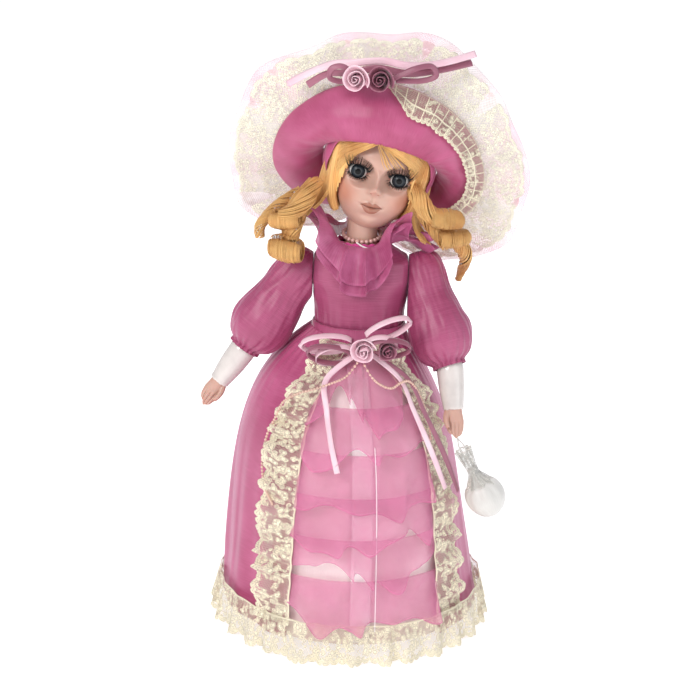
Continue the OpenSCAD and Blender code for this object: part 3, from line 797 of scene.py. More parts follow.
def face_point(a, b):
    """The sculpted head's surface; the sockets run back behind the glass eyes."""
    p = head_shell(direction(a, b))
    if p.y > -4:
        return p
    p.y -= features(p.x, p.z) * ease(-p.y, 4, 12)
    dx, dz = abs(p.x) - EYE[0], p.z - EYE[2]
    lift = 0.10 * dx
    e = math.hypot(dx / 6.65, (dz - lift) / 4.85)
    if e < 2.4:
        near = -math.sqrt(max((EYE_R + 1.0) ** 2 - dx * dx - dz * dz, 9.0)) + EYE[1]
        crease = 0.9 * bell(e - 1.75, 0.16) * ease(dz, 0.5, 3)
        p.y = mix(p.y, near, ease(e, 2.4, 1.05)) + crease
        p.y = mix(EYE[1] + 2.0, p.y, ease(e, 0.93, 1.03))
    return p


def build_head():
    head = Piece("painted_head")

    def place(u, v):
        t = 2 * u - 1
        return face_point(180 * (0.42 * t + 0.58 * t**3), 180 * (v - 0.5))

    head.patch(330, 260, place, closed=True)
    head.done("body", face_paint(), "bisque_porcelain", ["shoulder_head", "pate"], place=HEAD)

    plate = Piece("shoulder_plate")
    rim = [
        (11.2, 16), (11.0, 6), (11.5, -4), (12.5, -8), (17, -9.5), (22, -13), (26, -19), (29, -28),
        (27, -28), (20, -16)
    ]

    def flare(u, v):
        p = along([(r, 0, z) for r, z in rim], v)
        a = 2 * math.pi * u
        slim = mix(1.0, 0.68, ease(p.x, 12, 29))
        return Vector((p.x * math.cos(a), -p.x * slim * math.sin(a), NECK_Z + p.z))

    plate.patch(64, 40, flare)
    plate.weld(outward=True)
    plate.done("body", skin_paint("plain bisque", SKIN), "bisque_porcelain", thick=0.6)


def build_eyes():
    eyes = Piece("glass_eyes")
    for side in (-1, 1):
        made = bmesh.ops.create_uvsphere(
            eyes.mesh, u_segments=64, v_segments=48, radius=EYE_R,
            matrix=Matrix.Translation((side * EYE[0], EYE[1], EYE[2])) @ Matrix.Rotation(math.pi / 2, 4, "X"),
        )
        for v in made["verts"]:
            out = math.hypot(v.co.x - side * EYE[0], v.co.z - EYE[2])
            if v.co.y < EYE[1]:
                v.co.y -= 0.55 * bell(out, 4.6)
            for face in v.link_faces:
                face.smooth = True
    eyes.done("body", eye_paint(), "eye_glass", ["eye_left", "eye_right"], place=HEAD)


def build_lashes():
    rng = random.Random(4)
    lashes = Piece("lashes")
    for side in (-1, 1):
        for upper, count in ((True, sizes().lash_count), (False, 30)):
            for i in range(count):
                share = (i + 0.5) / count
                a = math.radians(mix(12, 168, share) if upper else mix(200, 340, share))
                dx, dz = 6.9 * math.cos(a), 5.0 * math.sin(a)
                root_y = EYE[1] - math.sqrt(max(74 - dx * dx - dz * dz, 12))
                long = (
                    (span("lash_length") if upper else 2.4) * rng.uniform(0.8, 1.1)
                    * mix(0.8, 1.15, math.cos(a) * 0.5 + 0.5)
                )
                lean = math.cos(a) * 0.75 + rng.uniform(-0.2, 0.2)
                rise = 1.0 if upper else -0.75
                root = Vector((EYE[0] + dx, root_y + 0.3, EYE[2] + dz + 0.08 * dx))
                middle = root + Vector((lean * 0.5, -0.62, rise * 0.22)) * long
                tip = root + Vector((lean, -0.72, rise)) * long
                path = [(side * p.x, p.y, p.z) for p in (root, middle, tip)]
                lashes.tube(path, lambda k: mix(0.36, 0.06, k), sides=3, rings=4)
    lashes.done(
        "body", smooth_paint("lash fibre", (0.012, 0.008, 0.008), 0.5), "lash_hair", ["eyelashes"],
        place=HEAD
    )


# ---- Wig ---------------------------------------------------------------------------------------------


def locks(piece, first, last, count, radius, rings=26, spread=1.0, seed=1):
    """A fan of tapering locks between two guide curves."""
    rng = random.Random(seed)
    for i in range(count):
        k = (i + rng.uniform(-0.25, 0.25)) / max(count - 1, 1)
        shift = Vector([rng.uniform(-0.5, 0.5) * spread for _ in range(3)])
        path = [mix(Vector(a), Vector(b), k) + shift for a, b in zip(first, last)]
        size = radius * rng.uniform(0.75, 1.2)
        piece.tube(path, lambda s, r=size: r * (0.35 + 0.65 * wave(180 * s)), 8, rings, 0.55)


def ringlet(piece, axis, radius, turns, strands=14, seed=1, phase=0.0, fill=3.6):
    """A rolled curl: locks side by side wound round an axis."""
    rng = random.Random(seed)
    rows = frames(axis, 60, (0, 1, 0))
    for s in range(strands):
        spin = phase + 2 * math.pi * s / strands
        swell = rng.uniform(0.90, 1.08)
        late = rng.uniform(0.0, 0.05)
        path = []
        for p, _, side, over in rows:
            k = len(path) / 60
            r = radius(k) * swell
            t = spin + 2 * math.pi * turns * (k + late)
            path.append(p + (side * math.cos(t) + over * math.sin(t)) * r)
        wide = radius(0.5) * fill / strands * rng.uniform(0.85, 1.2)
        piece.tube(path, lambda k, w=wide: w * (0.45 + 0.55 * wave(180 * k) ** 0.5), 6, 60, 0.7)


def barrel(piece, first, last, radius, strands, seed):
    """A curl rolled round a level axis: each lock winds one and a half times, inwards."""
    rng = random.Random(seed)
    first, last = Vector(first), Vector(last)
    along_axis = (last - first).normalized()
    up = Vector((0, 0, 1))
    ahead = along_axis.cross(up).normalized()
    for s in range(strands):
        k = (s + 0.5) / strands
        centre = mix(first, last, k)
        r = radius * (0.62 + 0.38 * wave(180 * k) ** 0.5) * rng.uniform(0.96, 1.04)
        begin = rng.uniform(-40, 10)
        path = []
        for i in range(47):
            a = begin + 552 * i / 46
            drift = along_axis * (2.4 * (i / 46 - 0.5))
            path.append(centre + drift + (up * wave(a + 90) + ahead * wave(a)) * r * mix(1.0, 0.42, i / 46))
        wide = (last - first).length / strands * rng.uniform(0.62, 0.8)
        piece.tube(path, lambda k, w=wide: w * (0.55 + 0.45 * wave(180 * k) ** 0.5), 6, 60, 0.8)


def build_wig():
    paint = hair("blonde locks", tone("hair_light"), tone("hair_dark"), tone("hair_warm"))
    cap = Piece("wig_cap_hair")

    def shell(u, v):
        d = direction(360 * u - 180, 180 * (v - 0.5))
        p = head_shell(d, 3.2)
        p.y += max(0, p.y) * 0.18 * bell(p.z - 30, 26)
        return p

    cap.patch(120, 90, shell, (1.0, 90.0), closed=True)
    gone = []
    for face in cap.mesh.faces:
        c = face.calc_center_median()
        open_face = (c.x / 27) ** 2 + ((c.z - 30) / 46) ** 2 < 1 and c.y < 4
        if open_face or c.z < 15 or (math.hypot(c.x, c.y) < 17 and c.z < 20):
            gone.append(face)
    bmesh.ops.delete(cap.mesh, geom=gone, context="FACES")
    for i in range(27):
        a = mix(66, 294, i / 26)
        path = []
        for z, out in ((74, 3.8), (60, 4.6), (45, 5.0), (31, 4.5), (21, 3.0), (15.5, 0.0)):
            flat = head_shell(direction(a, math.degrees(math.atan2(z - 50, 36))), out)
            path.append((flat.x, flat.y + 3 * bell(z - 34, 16) * max(0, -wave(a + 90)), z))
        cap.tube(path, lambda k: 3.3 * (0.7 + 0.3 * wave(180 * k)), 8, 22, 0.6)
    cap.done("body", paint, "blonde_hair", ["wig_cap"], thick=0.5, place=HEAD)

    fringe = Piece("swept_fringe")
    left_low = [
        (-6, -34, 75), (4, -34.5, 71), (15, -32, 66.5), (24, -25, 60), (29, -17, 49), (30.5, -12, 36),
        (34, -12, 22), (38, -14, 14), (44, -14, 8)
    ]
    left_high = [
        (-6, -32, 83), (8, -32, 81), (20, -27, 75), (33, -15, 66), (39, -6, 51), (40, -3, 34),
        (38, -5, 20), (45, -6, 12), (52, -7, 4)
    ]
    right_low = [
        (-7, -34, 75), (-12, -33.6, 71), (-19, -30.5, 65), (-25.5, -24, 57), (-29.5, -17, 46),
        (-31.5, -14, 33), (-36, -16, 20), (-42, -18, 11), (-49, -22, 0)
    ]
    right_high = [
        (-7, -32, 83), (-15, -30.5, 80), (-25, -23, 73), (-36, -10, 63), (-40, -4, 48), (-41, -3, 33),
        (-40, -8, 21), (-48, -12, 10), (-56, -18, 0)
    ]
    locks(fringe, left_low, left_high, sizes().fringe_locks, 1.05, 34, 1.3, 5)
    locks(fringe, right_low, right_high, sizes().fringe_locks, 1.05, 34, 1.3, 6)
    wisps_low = [(-7, -36, 75), (-3, -37, 68), (0, -37, 62), (3, -36.5, 58)]
    wisps_high = [(-3, -35, 76), (6, -36, 70), (12, -35, 66), (17, -33, 62)]
    locks(fringe, wisps_low, wisps_high, 9, 0.42, 20, 1.0, 9)
    fringe.done("body", paint, "blonde_hair", place=HEAD)

    base = Vector((0, 0, NECK_Z))

    def at(*points):
        return [base + Vector(p) for p in points]

    right = Piece("ringlets_right_hair")
    barrel(right, base + Vector((-44, -38, -7)), base + Vector((-68, -33, -4)), 11.5, 46, 3)
    barrel(right, base + Vector((-46, -34, 17)), base + Vector((-68, -28, 15)), 9.5, 42, 4)
    ringlet(
        right, at((-34, -14, 42), (-39, -22, 36), (-43, -29, 30), (-50, -34, 24), (-60, -32, 19)),
        lambda k: 4.2 + 1.8 * wave(180 * k), 0.5, 30, 5, 0.8
    )
    ringlet(
        right, at((-36, -8, 40), (-43, -12, 30), (-49, -20, 20), (-52, -28, 8), (-52, -32, 0)),
        lambda k: 5.0 + 2.2 * wave(180 * k), 0.8, 34, 12
    )
    ringlet(
        right, at((-46, -8, 32), (-58, -10, 25), (-68, -14, 17), (-76, -16, 7), (-76, -16, -2)),
        lambda k: 4.6 - 1.2 * k, 1.3, 26, 6
    )
    right.done("body", paint, "blonde_hair", ["ringlets_right"])

    left = Piece("ringlets_left_hair")
    ringlet(
        left, at((33, -15, 42), (40, -20, 34), (46, -24, 25), (54, -25, 19), (64, -22, 17)),
        lambda k: 4.6 + 1.6 * wave(180 * k), 0.6, 30, 7, 2.0
    )
    barrel(left, base + Vector((50, -27, 19)), base + Vector((74, -20, 17)), 8.5, 40, 14)
    barrel(left, base + Vector((58, -18, 1)), base + Vector((80, -10, 2)), 8.0, 38, 15)
    ringlet(
        left, at((60, -12, 10), (68, -10, 0), (76, -6, -8), (79, 2, -18), (77, 12, -30), (75, 15, -38)),
        lambda k: 5.2 - 3.0 * ease(k, 0.4, 1.0), 1.8, 30, 8
    )
    ringlet(
        left, at((38, -12, 34), (44, -14, 22), (52, -13, 10), (59, -9, 0), (63, -4, -8)),
        lambda k: 4.8 + 1.2 * wave(180 * k) - 2 * k, 1.0, 30, 9
    )
    left.done("body", paint, "blonde_hair", ["ringlets_left"])


# ---- Hat ---------------------------------------------------------------------------------------------


def round_hat(full, nape, start, a):
    over = max(0.0, abs(a) - start) / (180 - start)
    return nape + (full - nape) * (0.5 + 0.5 * wave(180 * over + 90))


def brim_point(a, k, back=0.0):
    """The brim at a degrees from the brow and a share k of the way out, moved back by back."""
    tilt = math.radians(25)
    r_in = 43.2
    inner = Vector(
        (r_in * wave(a), 4 - r_in * math.cos(tilt) * wave(a + 90), 4 + r_in * math.sin(tilt) * wave(a + 90))
    )
    r = round_hat(82, 34, 75, a)
    outer = Vector((r * wave(a), 16 - 38 * wave(a + 90), r * wave(a + 90) * 0.95 - 12))
    p = mix(inner, outer, k)
    return p + Vector((0, back - 9 * wave(180 * k), HEAD_Z))


def veil_point(a, k, back=0.0):
    """The veil at a degrees from the brow and a share k of the way out."""
    lobes = 1 + 0.028 * k * (wave(5 * a + 30) + 0.8 * ring_noise(a, 0, 2.4, 12.0) + 0.5 * wave(11 * a))
    r = mix(round_hat(74, 34, 75, a), round_hat(115, 44, 100, a) * lobes, k)
    return Vector(
        (
            r * wave(a), 20.5 + 4 * k - 37 * wave(a + 90) + back,
            r * wave(a + 90) * mix(0.95, 1, k) - 12 + HEAD_Z
        )
    )


def build_hat():
    cloth = satin("magenta hat satin", tone("hat_light"), tone("hat_dark"), 0.36)
    brim = Piece("brim_satin")

    def place(u, v):
        a = 360 * u - 180
        t = 2 * math.pi * v
        k = 0.5 - 0.5 * math.cos(t)
        front = math.sin(t) >= 0
        p = brim_point(a, k, 1.6)
        puff = 3.4 * abs(math.sin(t)) ** 0.6
        folds = (
            1.5 * ring_noise(a, 3 * k, 5.0, 3.1) * wave(180 * k)
            + 0.9 * ring_noise(a, 2 * k, 14.0, 1.7) * (1 - k)
        )
        p.y += -(puff + folds) if front else puff + 0.5 * folds
        grow = 1 + 0.012 * ring_noise(a, 0.0, 3.0, 8.0) * k
        return Vector((p.x * grow, p.y, HEAD_Z + (p.z - HEAD_Z) * grow))

    brim.patch(220, 44, place, (520.0, 110.0), closed=True)
    obj = brim.done("body", cloth, "hat_satin", ["hat_brim"], place=HEAD)

    crown = Piece("crown_satin")
    tip = Matrix.Translation((0, 4, HEAD_Z + 4)) @ Matrix.Rotation(math.radians(-25), 4, "X")

    def dome(u, v):
        a = 360 * u
        low = mix(2, -26, ease(abs((a + 180) % 360 - 180), 50, 85))
        b = mix(low, 90, v)
        r = 42.0 + 0.7 * ring_noise(a, 0.3, 9.0, 2.2) * ease(b, 88, 55) + 0.5 * wave(18 * a) * ease(b, 30, 4)
        return tip @ (direction(a, b) * r)

    crown.patch(180, 50, dome, (260.0, 66.0))
    crown.weld(outward=True)
    obj = crown.done("body", cloth, "hat_satin", ["hat_crown"], thick=0.8, place=HEAD)

    for name, paint, slot, out, back, scallop in (
        (
            "veil_tulle", tulle("pale pink tulle", tone("tulle_light"), tone("tulle_dark"), 0.26),
            "pale_tulle", 1.0, 1.5, 0
        ),
        (
            "veil_lace", lace("veil net lace", tone("veil_lace"), 46.0, 2.3, 0.56, 0.0, 9.0),
            "cream_lace", 0.93, -0.6, 2.2
        ),
    ):
        veil = Piece(name)

        def place(u, v, out=out, back=back, scallop=scallop):
            a = 360 * u - 180
            p = veil_point(a, v * out, back)
            ruffle = 3.4 * ring_noise(a, 0.4 * v, 6.0, 5.0 + back) + 1.6 * wave(23 * a + 40 * back)
            p.y += ruffle * v
            edge = (
                1 - scallop * abs(wave(a * 11)) * ease(v, 0.8, 1.0) / 116
                + 0.012 * ring_noise(a, 0, 4.0, 3 + back) * v
            )
            return Vector((p.x * edge, p.y, HEAD_Z - 12 + (p.z - HEAD_Z + 12) * edge))

        veil.patch(300, 22, place, (600.0, 46.0))
        veil.weld()
        obj = veil.done("body", paint, slot, ["hat_veil"] if scallop == 0 else (), thick=0.25, place=HEAD)


def rose(piece, r, place, turns=3.3, seed=1):
    """A ribbon rose: a rolled heart with loose outer petals; it opens towards -Y."""

    def petals(u, v):
        a = 360 * turns * u
        open_out = ease(u, 0.25, 1.0)
        rad = r * (0.10 + 0.62 * u) + r * 0.42 * open_out * v * v
        rad += r * 0.07 * waver(u * 22, v * 2, seed)
        high = r * (1.35 * v * mix(1.0, 0.80, u) + 0.12 * wave(a * 2.3) * v)
        return place @ Vector((rad * wave(a), -high, rad * wave(a + 90)))

    piece.patch(170, 8, petals, (90.0, r))

    def base(u, v):
        return (
            place
            @ (Vector((wave(360 * u), 0, wave(360 * u + 90))) * r * 0.72 * v + Vector((0, -0.5 * v, 0)))
        )

    piece.patch(24, 3, base, (20.0, 5.0))


def build_hat_trim():
    trim = lace("brim ladder lace", tone("lace"), 27.0, 1.5, 0.46, 8.5, 5.0)
    strip = Piece("brim_lace")

    def place(u, v):
        a = mix(-9, 108, u)
        inner = mix(0.97, 0.60, ease(u, 0.0, 0.16)) + 0.03 * ring_noise(a, 0, 9.0, 3.0)
        k = mix(1.02, inner, v)
        p = brim_point(a, min(k, 1.0), -1.9)
        curl = 2.4 * ease(v, 0.55, 1.0) * abs(ring_noise(a, 0, 16.0, 6.0))
        p.y -= 3.6 * wave(180 * min(k, 1.0)) ** 0.6 + 0.7 + curl + 2.0 * max(k - 1, 0)
        edge = 1 + 0.10 * max(k - 1, 0)
        return Vector((p.x * edge, p.y, HEAD_Z + (p.z - HEAD_Z) * edge))

    strip.patch(260, 18, place, (165.0, 27.0))
    obj = strip.done("body", trim, "cream_lace", ["hat_lace"], thick=0.3, place=HEAD)

    pale = satin("pale pink ribbon", tone("pale_light"), tone("pale_dark"), 0.28)
    mauve = satin("mauve ribbon", tone("mauve_light"), tone("mauve_dark"), 0.30)
    for name, paint, slot, at, r, node in (
        ("hat_rose_pale_petals", pale, "pale_satin_ribbon", (-32, -37, HEAD_Z + 66), 9.2, "hat_rose_pale"),
        (
            "hat_rose_mauve_petals", mauve, "mauve_satin_ribbon", (-15, -39, HEAD_Z + 70), 9.2,
            "hat_rose_mauve"
        ),
    ):
        flower = Piece(name)
        turn = Matrix.Rotation(math.radians(-14), 4, "Z")
        rose(flower, r, HEAD @ Matrix.Translation(at) @ turn, 3.3, r)
        flower.done("body", paint, slot, [node], thick=0.35)

    streamers = (
        ("hat_ribbon_pale_long", pale, "pale_satin_ribbon", "hat_ribbon_pale",
         [(-80, -14, 46), (-68, -20, 58), (-52, -26, 70), (-36, -33, 76), (-18, -35, 82),
          (2, -33, 83), (24, -28, 90), (46, -20, 101)]),
        ("hat_ribbon_mauve_long", mauve, "mauve_satin_ribbon", "hat_ribbon_mauve",
         [(-66, -20, 50), (-54, -25, 62), (-38, -32, 68), (-20, -34, 76), (0, -33, 77),
          (22, -28, 84), (45, -19, 94)]),
    )
    for name, paint, slot, node, points in streamers:
        path = [HEAD @ Vector((x, y, z + HEAD_Z)) for x, y, z in points]
        band = Piece(name)
        band.ribbon(path, 5.4, 60, lambda k: (0.1, -1, 0.25 + 0.5 * wave(500 * k)), cup=0.25)
        obj = band.done("body", paint, slot, [node], thick=0.25)
        fine = [along(path, i / 60) * 0.001 for i in range(61)]
        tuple(fine[0])
        length_of(fine)
    loops = Piece("hat_ribbon_loops")
    for points in (
        [(-34, -38, 66), (-44, -40, 72), (-52, -40, 69), (-52, -39, 62), (-44, -38, 61), (-34, -38, 64)],
        [(-8, -38, 72), (4, -40, 82), (16, -38, 87), (21, -36, 81), (12, -36, 75), (-6, -37, 71)],
    ):
        loops.ribbon([HEAD @ Vector((x, y, z + HEAD_Z)) for x, y, z in points], 4.2, 40, (0.2, -1, 0.6), 0.2)
    loops.done("body", mauve, "mauve_satin_ribbon", thick=0.25)


# ---- Gown --------------------------------------------------------------------------------------------


def skirt_point(a, k, out=0.0):
    """The skirt a degrees from the front and a share k of the way down, moved outwards by out."""
    fade = 1 - math.exp(-14 * k)
    r = 35 + 66 * (1 - math.exp(-6.5 * k)) + out
    r -= (24 if wave(a) > 0 else 7.2) * fade * (1 - k**2.2) * wave(a) ** 2
    r -= 12 * fade * (1 - k) * max(0.0, wave(a + 90)) ** 2
    return ring_point(a, r, WAIST_Z - SKIRT_LEN * k + 1.2 * out * math.exp(-6.5 * k))


def gap_at(k):
    """Half the angle of the overskirt's front gap."""
    return 8 + 29 * (1 - math.exp(-9 * k))


def drift_at(k):
    """How far the front gap turns towards the doll's left on its way down."""
    return 8 * (1 - math.exp(-6 * k))


def skirt_fold(a, k):
    """Soft folds that fall from the gathered waist."""
    deep = (
        span("fold_depth") * ease(k, 0.16, 0.9) * mix(1.0, 0.5, ease(k, 0.8, 1.0))
        * mix(1.0, 0.5, max(0.0, wave(a)))
    )
    soft = ring_noise(a, 0.5 * k, 3.4, 2.4) * deep + 0.8 * deep * ring_noise(a, 0.4 * k, 7.0, 7.7)
    under_sleeve = 2.0 * max(0.0, wave(a)) * bell(k - 0.16, 0.13)
    return soft - under_sleeve + 0.9 * math.exp(-11 * k) * wave(a * 40 + 60 * ring_noise(a, 0, 6.0, 1.0))


def build_skirt():
    cloth = taffeta("shot taffeta", tone("gown_light"), tone("gown_dark"))
    over = Piece("overskirt_taffeta")

    def place(u, v):
        k = v**1.4
        a = drift_at(k) + gap_at(k) - 1.5 + u * (363 - 2 * gap_at(k))
        near = min(u, 1 - u) * 60
        curl = 1.0 * bell(near, 0.6)
        return skirt_point(a, k, skirt_fold(a, k) * ease(near, 0, 2.5) + curl)

    over.patch(360, 90, place, (560.0, 225.0))
    obj = over.done("body", cloth, "mauve_taffeta", ["overskirt"], thick=0.6)

    under = Piece("under_dress_satin")

    def full(u, v):
        a, k = 360 * u, v**1.3
        hidden = ease(abs((a + 180 - drift_at(k)) % 360 - 180) - gap_at(k), 4.0, 14.0)
        return skirt_point(a, k, -3.4 + 0.5 * ring_noise(a, k, 8.0, 4.0) - 8.0 * hidden * ease(k, 0.1, 0.5))

    under.patch(240, 70, full, (600.0, 220.0))
    under.weld()
    pale = satin("pale front satin", tone("front_light"), tone("front_dark"), 0.32)
    obj = under.done("body", pale, "front_satin", ["petticoat"], thick=0.5)

    placket = Piece("front_placket")

    def band(u, v):
        k = mix(0.06, 0.99, v)
        r = skirt_point(0, k).xy.length
        return skirt_point(drift_at(k) - 3 + math.degrees((u - 0.5) * 16 / r), k, -1.2)

    placket.patch(8, 60, band, (16.0, 210.0))
    placket.done(
        "body", satin("placket satin", (0.97, 0.90, 0.90), (0.92, 0.80, 0.82)), "front_satin", thick=0.4
    )

    thread = Piece("front_seam_thread")
    seam = (0.3, 0.4, 0.5, 0.6, 0.7, 0.8, 0.93)
    thread.tube([skirt_point(drift_at(k) + 2.5, k, 8.4) for k in seam], 0.32, 6, 60)
    thread.done("body", smooth_paint("white thread", (0.95, 0.90, 0.91), 0.6), "front_satin")


def build_tiers():
    paint = organza("pink organza", tone("tier_light"), tone("tier_dark"), 0.17, 36.0)
    rise = 0.86 / 6
    for i in range(6):
        top = 0.045 + i * rise
        tier = Piece(f"organza_tier_{i + 1}")

        def place(u, v, top=top, i=i):
            s = 2 * u - 1
            wide = gap_at(top + v * 35 / SKIRT_LEN) + 0.5
            drape = waver(s * 1.5 + 3.0 * i, 0.4 * i)
            phase = 360 * (s * 1.6 + 1.1 * waver(s * 1.6, i * 3.1) + 0.35 * v * drape)
            deep = mix(0.6, 1.5, 0.5 + 0.9 * waver(s * 1.9, i * 7.7 + 2.0))
            ruffle = (
                wave(phase) * (0.3 + span("tier_ruffle") * v**1.4) * deep
                + 1.0 * v * waver(s * 9, v * 2, i)
            )
            ruffle += 0.35 * (1 - 0.6 * v) * waver(s * 34, v, i)
            fall = (4.5 * v * wave(phase + 70) + 24.0 * v * drape) / SKIRT_LEN
            out = mix(1.8 + 6.4 * v + max(ruffle, -3.2 * v - 0.4), 1.0, ease(abs(s), 0.82, 1.0))
            sway = 2.2 * v * wave(phase + 90) * 57 / 90
            return skirt_point(drift_at(top) + s * wide + sway, top + v * 35 / SKIRT_LEN + fall, out)

        tier.patch(260, 22, place, (200.0, 36.0))
        obj = tier.done("body", paint, "pink_organza", [f"tier_{i + 1}"], thick=0.2)


def build_laces():
    edging = lace("edging lace", tone("lace"), 28.0, 1.5, 0.60)
    for side, name in ((1, "left"), (-1, "right")):
        strip = Piece(f"edge_lace_{name}_ruffle")

        def place(u, v, side=side):
            k = mix(0.02, 0.945, u**1.25)
            r = max(skirt_point(side * 30, k).xy.length, 30)
            wide = mix(17, span("edging_width"), ease(k, 0, 0.35))
            phase = 360 * (u * 11 + 0.9 * waver(u * 6, side))
            a = side * (gap_at(k) - 3.5 + math.degrees(wide * v / r))
            by_hand = 0.6 * bell(k - 0.38, 0.14) if side > 0 else 0.0
            ruffle = (0.6 + 2.9 * v) * wave(phase) + 1.8 * v + 0.6 * v * abs(wave(phase * 2.5))
            out = (
                3.2 + skirt_fold(drift_at(k) + side * gap_at(k), k) * 0.6 + (1 - by_hand) * ruffle
                - 2.2 * by_hand
            )
            scallop = 0.8 * abs(wave(180 * u * 46)) * ease(v, 0.75, 1.0)
            return skirt_point(drift_at(k) + a + side * math.degrees(scallop / r), k, out)

        strip.patch(420, 16, place, (270.0, 28.0))
        obj = strip.done("body", edging, "cream_lace", [f"edge_lace_{name}"], thick=0.25)

    hem = Piece("hem_lace_ruffle")

    def ring(u, v):
        a = 360 * u
        ruffle = (0.5 + span("hem_ruffle") * v) * wave(a * 30 + 120 * ring_noise(a, 0, 5.0, 9.0))
        r = 103.0 + 5.4 * v + ruffle + max(0.0, skirt_fold(a, 0.97))
        z = mix(HEM_CLEAR + 18, HEM_CLEAR - 12.5, v) + 2.2 * v * ring_noise(a, 0, 9.0, 4.0)
        z = max(z, 0.6)
        return ring_point(a, r, z)

    hem.patch(900, 14, ring, (820.0, 28.0))
    hem.weld()
    obj = hem.done("body", edging, "cream_lace", ["hem_lace"], thick=0.25)


BODICE = [
    (1, 33, 24), (14, 34, 25), (28, 35.6, 27), (42, 35.5, 25.5), (49, 35.6, 24.5), (57.5, 35.4, 22.5),
    (62, 30, 21), (66, 24, 19.7), (68.2, 19, 17.4)
]


def build_bodice():
    cloth = taffeta("bodice taffeta", tone("bodice_light"), tone("bodice_dark"), 0.9, 0.36)
    waist = Piece("bodice_taffeta")

    def place(u, v):
        a = 360 * u
        z = 68.2 * v
        wide = profile([(h, w) for h, w, _ in BODICE], z)
        deep = profile([(h, d) for h, _, d in BODICE], z)
        tuck = 0.45 * wave(a * 26) * bell(z - 2, 16) + 0.7 * ring_noise(a, z / 30, 4.0, 3.3)
        power = mix(1.0, 0.55, ease(z, 26, 44) * ease(z, 64, 56))
        x = min(max((wide + tuck) * squared(wave(a), power), -35.9), 35.9)
        y = (deep + tuck + 0.4) * squared(wave(a + 90), power) + 1.2 * bell(z - 30, 22)
        return Vector((x, -y, WAIST_Z + z * 65 / 68))

    waist.patch(200, 60, place, (190.0, 70.0))
    waist.weld()
    obj = waist.done("body", cloth, "mauve_taffeta", ["bodice"], thick=0.6)

    sash = Piece("waist_sash")

    def band(u, v):
        a, t = 360 * u, 2 * math.pi * v
        r = 34.6 + 1.6 * math.cos(t) + 0.4 * ring_noise(a, 0, 6.0, 4.0)
        z = WAIST_Z + 0.5 + 4.6 * math.sin(t) + 0.5 * ring_noise(a, 1, 5.0, 2.0)
        slim = mix(0.83, 1.0, ease(WAIST_Z + 4 - z, -2, 8))
        return ring_point(a, r, z, slim)

    sash.patch(160, 18, band, (210.0, 20.0), closed=True)
    sash.done("body", satin("sash satin", tone("bodice_light"), tone("bodice_dark")), "mauve_taffeta")

    braid = Piece("neck_braid_stitches")

    def plait(u, v):
        a, t = 360 * u, 2 * math.pi * v
        bump = 1.15 + 0.35 * abs(wave(a * 9 + 40 * math.sin(t)))
        x_r, y_r = 18.4 + bump * math.cos(t), 16.9 + bump * math.cos(t)
        return Vector(
            (x_r * wave(a), -y_r * wave(a + 90), NECK_Z - 6.2 + 1.2 * bump * math.sin(t) + 0.3 * wave(a * 18))
        )

    braid.patch(300, 12, plait, (110.0, 9.0), closed=True)
    braid.done(
        "body", smooth_paint("magenta braid", (0.62, 0.05, 0.26), 0.7, sheen=0.4), "magenta_braid",
        ["neck_braid"]
    )

    tape = Piece("collar_tape")
    tape.tube([(-4, -19.4, 305.5), (0, -20, 303), (5, -20, 301), (8, -19, 299.5)], 0.6, 8, 16, 0.5)
    tape.done("body", smooth_paint("white tape", (0.88, 0.84, 0.82), 0.6), "white_satin")


COLLAR_EDGE = [
    (-180, 38, 306), (-150, 40, 308), (-118, 44, 318), (-92, 46, 334), (-74, 47, 342), (-58, 47, 332),
    (-42, 46, 308), (-26, 44, 287), (-10, 42, 278), (4, 42, 277), (18, 42, 283), (30, 41, 300),
    (42, 40, 324), (52, 41, 330), (64, 45, 318), (80, 52, 306), (98, 56, 302), (122, 49, 304),
    (150, 41, 306), (180, 38, 306),
]


def frill_point(a, k, seed, lift=0.0):
    """The organza collar: k runs from the neckline out to the free edge."""
    r = profile([(row[0], row[1]) for row in COLLAR_EDGE], a)
    z = profile([(row[0], row[2]) for row in COLLAR_EDGE], a)
    inner = Vector((20 * wave(a), -18.5 * wave(a + 90), NECK_Z - 6))
    outer = ring_point(a, r, z + lift, 0.92)
    p = mix(inner, outer, k) + Vector((0, 0, 6 * wave(180 * k)))
    turn = a * 15 + 55 * ring_noise(a, 0, 2.6, seed)
    fine = ring_noise(a, 0.5 * k, 14.0, seed + 3)
    away = Vector((wave(a), -wave(a + 90), 0.4))
    sideways = Vector((wave(a + 90), wave(a), 0))
    grow = k ** 0.9
    return (
        p + away * (span("collar_ruffle") * wave(turn) + 1.2 * fine) * grow
        + sideways * 3.0 * wave(turn + 100) * grow
    )


def build_collar():
    paint = organza("dusty organza", tone("collar_light"), tone("collar_dark"), 0.50, 32.0)
    for name, seed, lift, first, last, node in (
        ("collar_organza", 2.0, 0.0, -180, 180, ["collar_frill"]),
        ("collar_organza_under", 6.5, -6.0, -112, 124, ()),
    ):
        frill = Piece(name)

        def place(u, v, seed=seed, lift=lift, first=first, last=last):
            p = frill_point(mix(first, last, u), mix(0.03, 1.0, v), seed, lift)
            return p - Vector((0, 0, 2.2)) if lift else p

        frill.patch(360, 26, place, (260.0, 32.0))
        if last - first == 360:
            frill.weld()
        obj = frill.done("body", paint, "pink_organza", node, thick=0.2)


SLEEVE = [
    (0.5, 19), (9, 17.4), (15, 13), (18, 5), (18.6, -6), (19.3, -17.7), (22, -31.3), (24, -43.5),
    (23, -53.7), (18.6, -61.9), (12.6, -66.6), (12.2, -68.6), (12.6, -70)
]


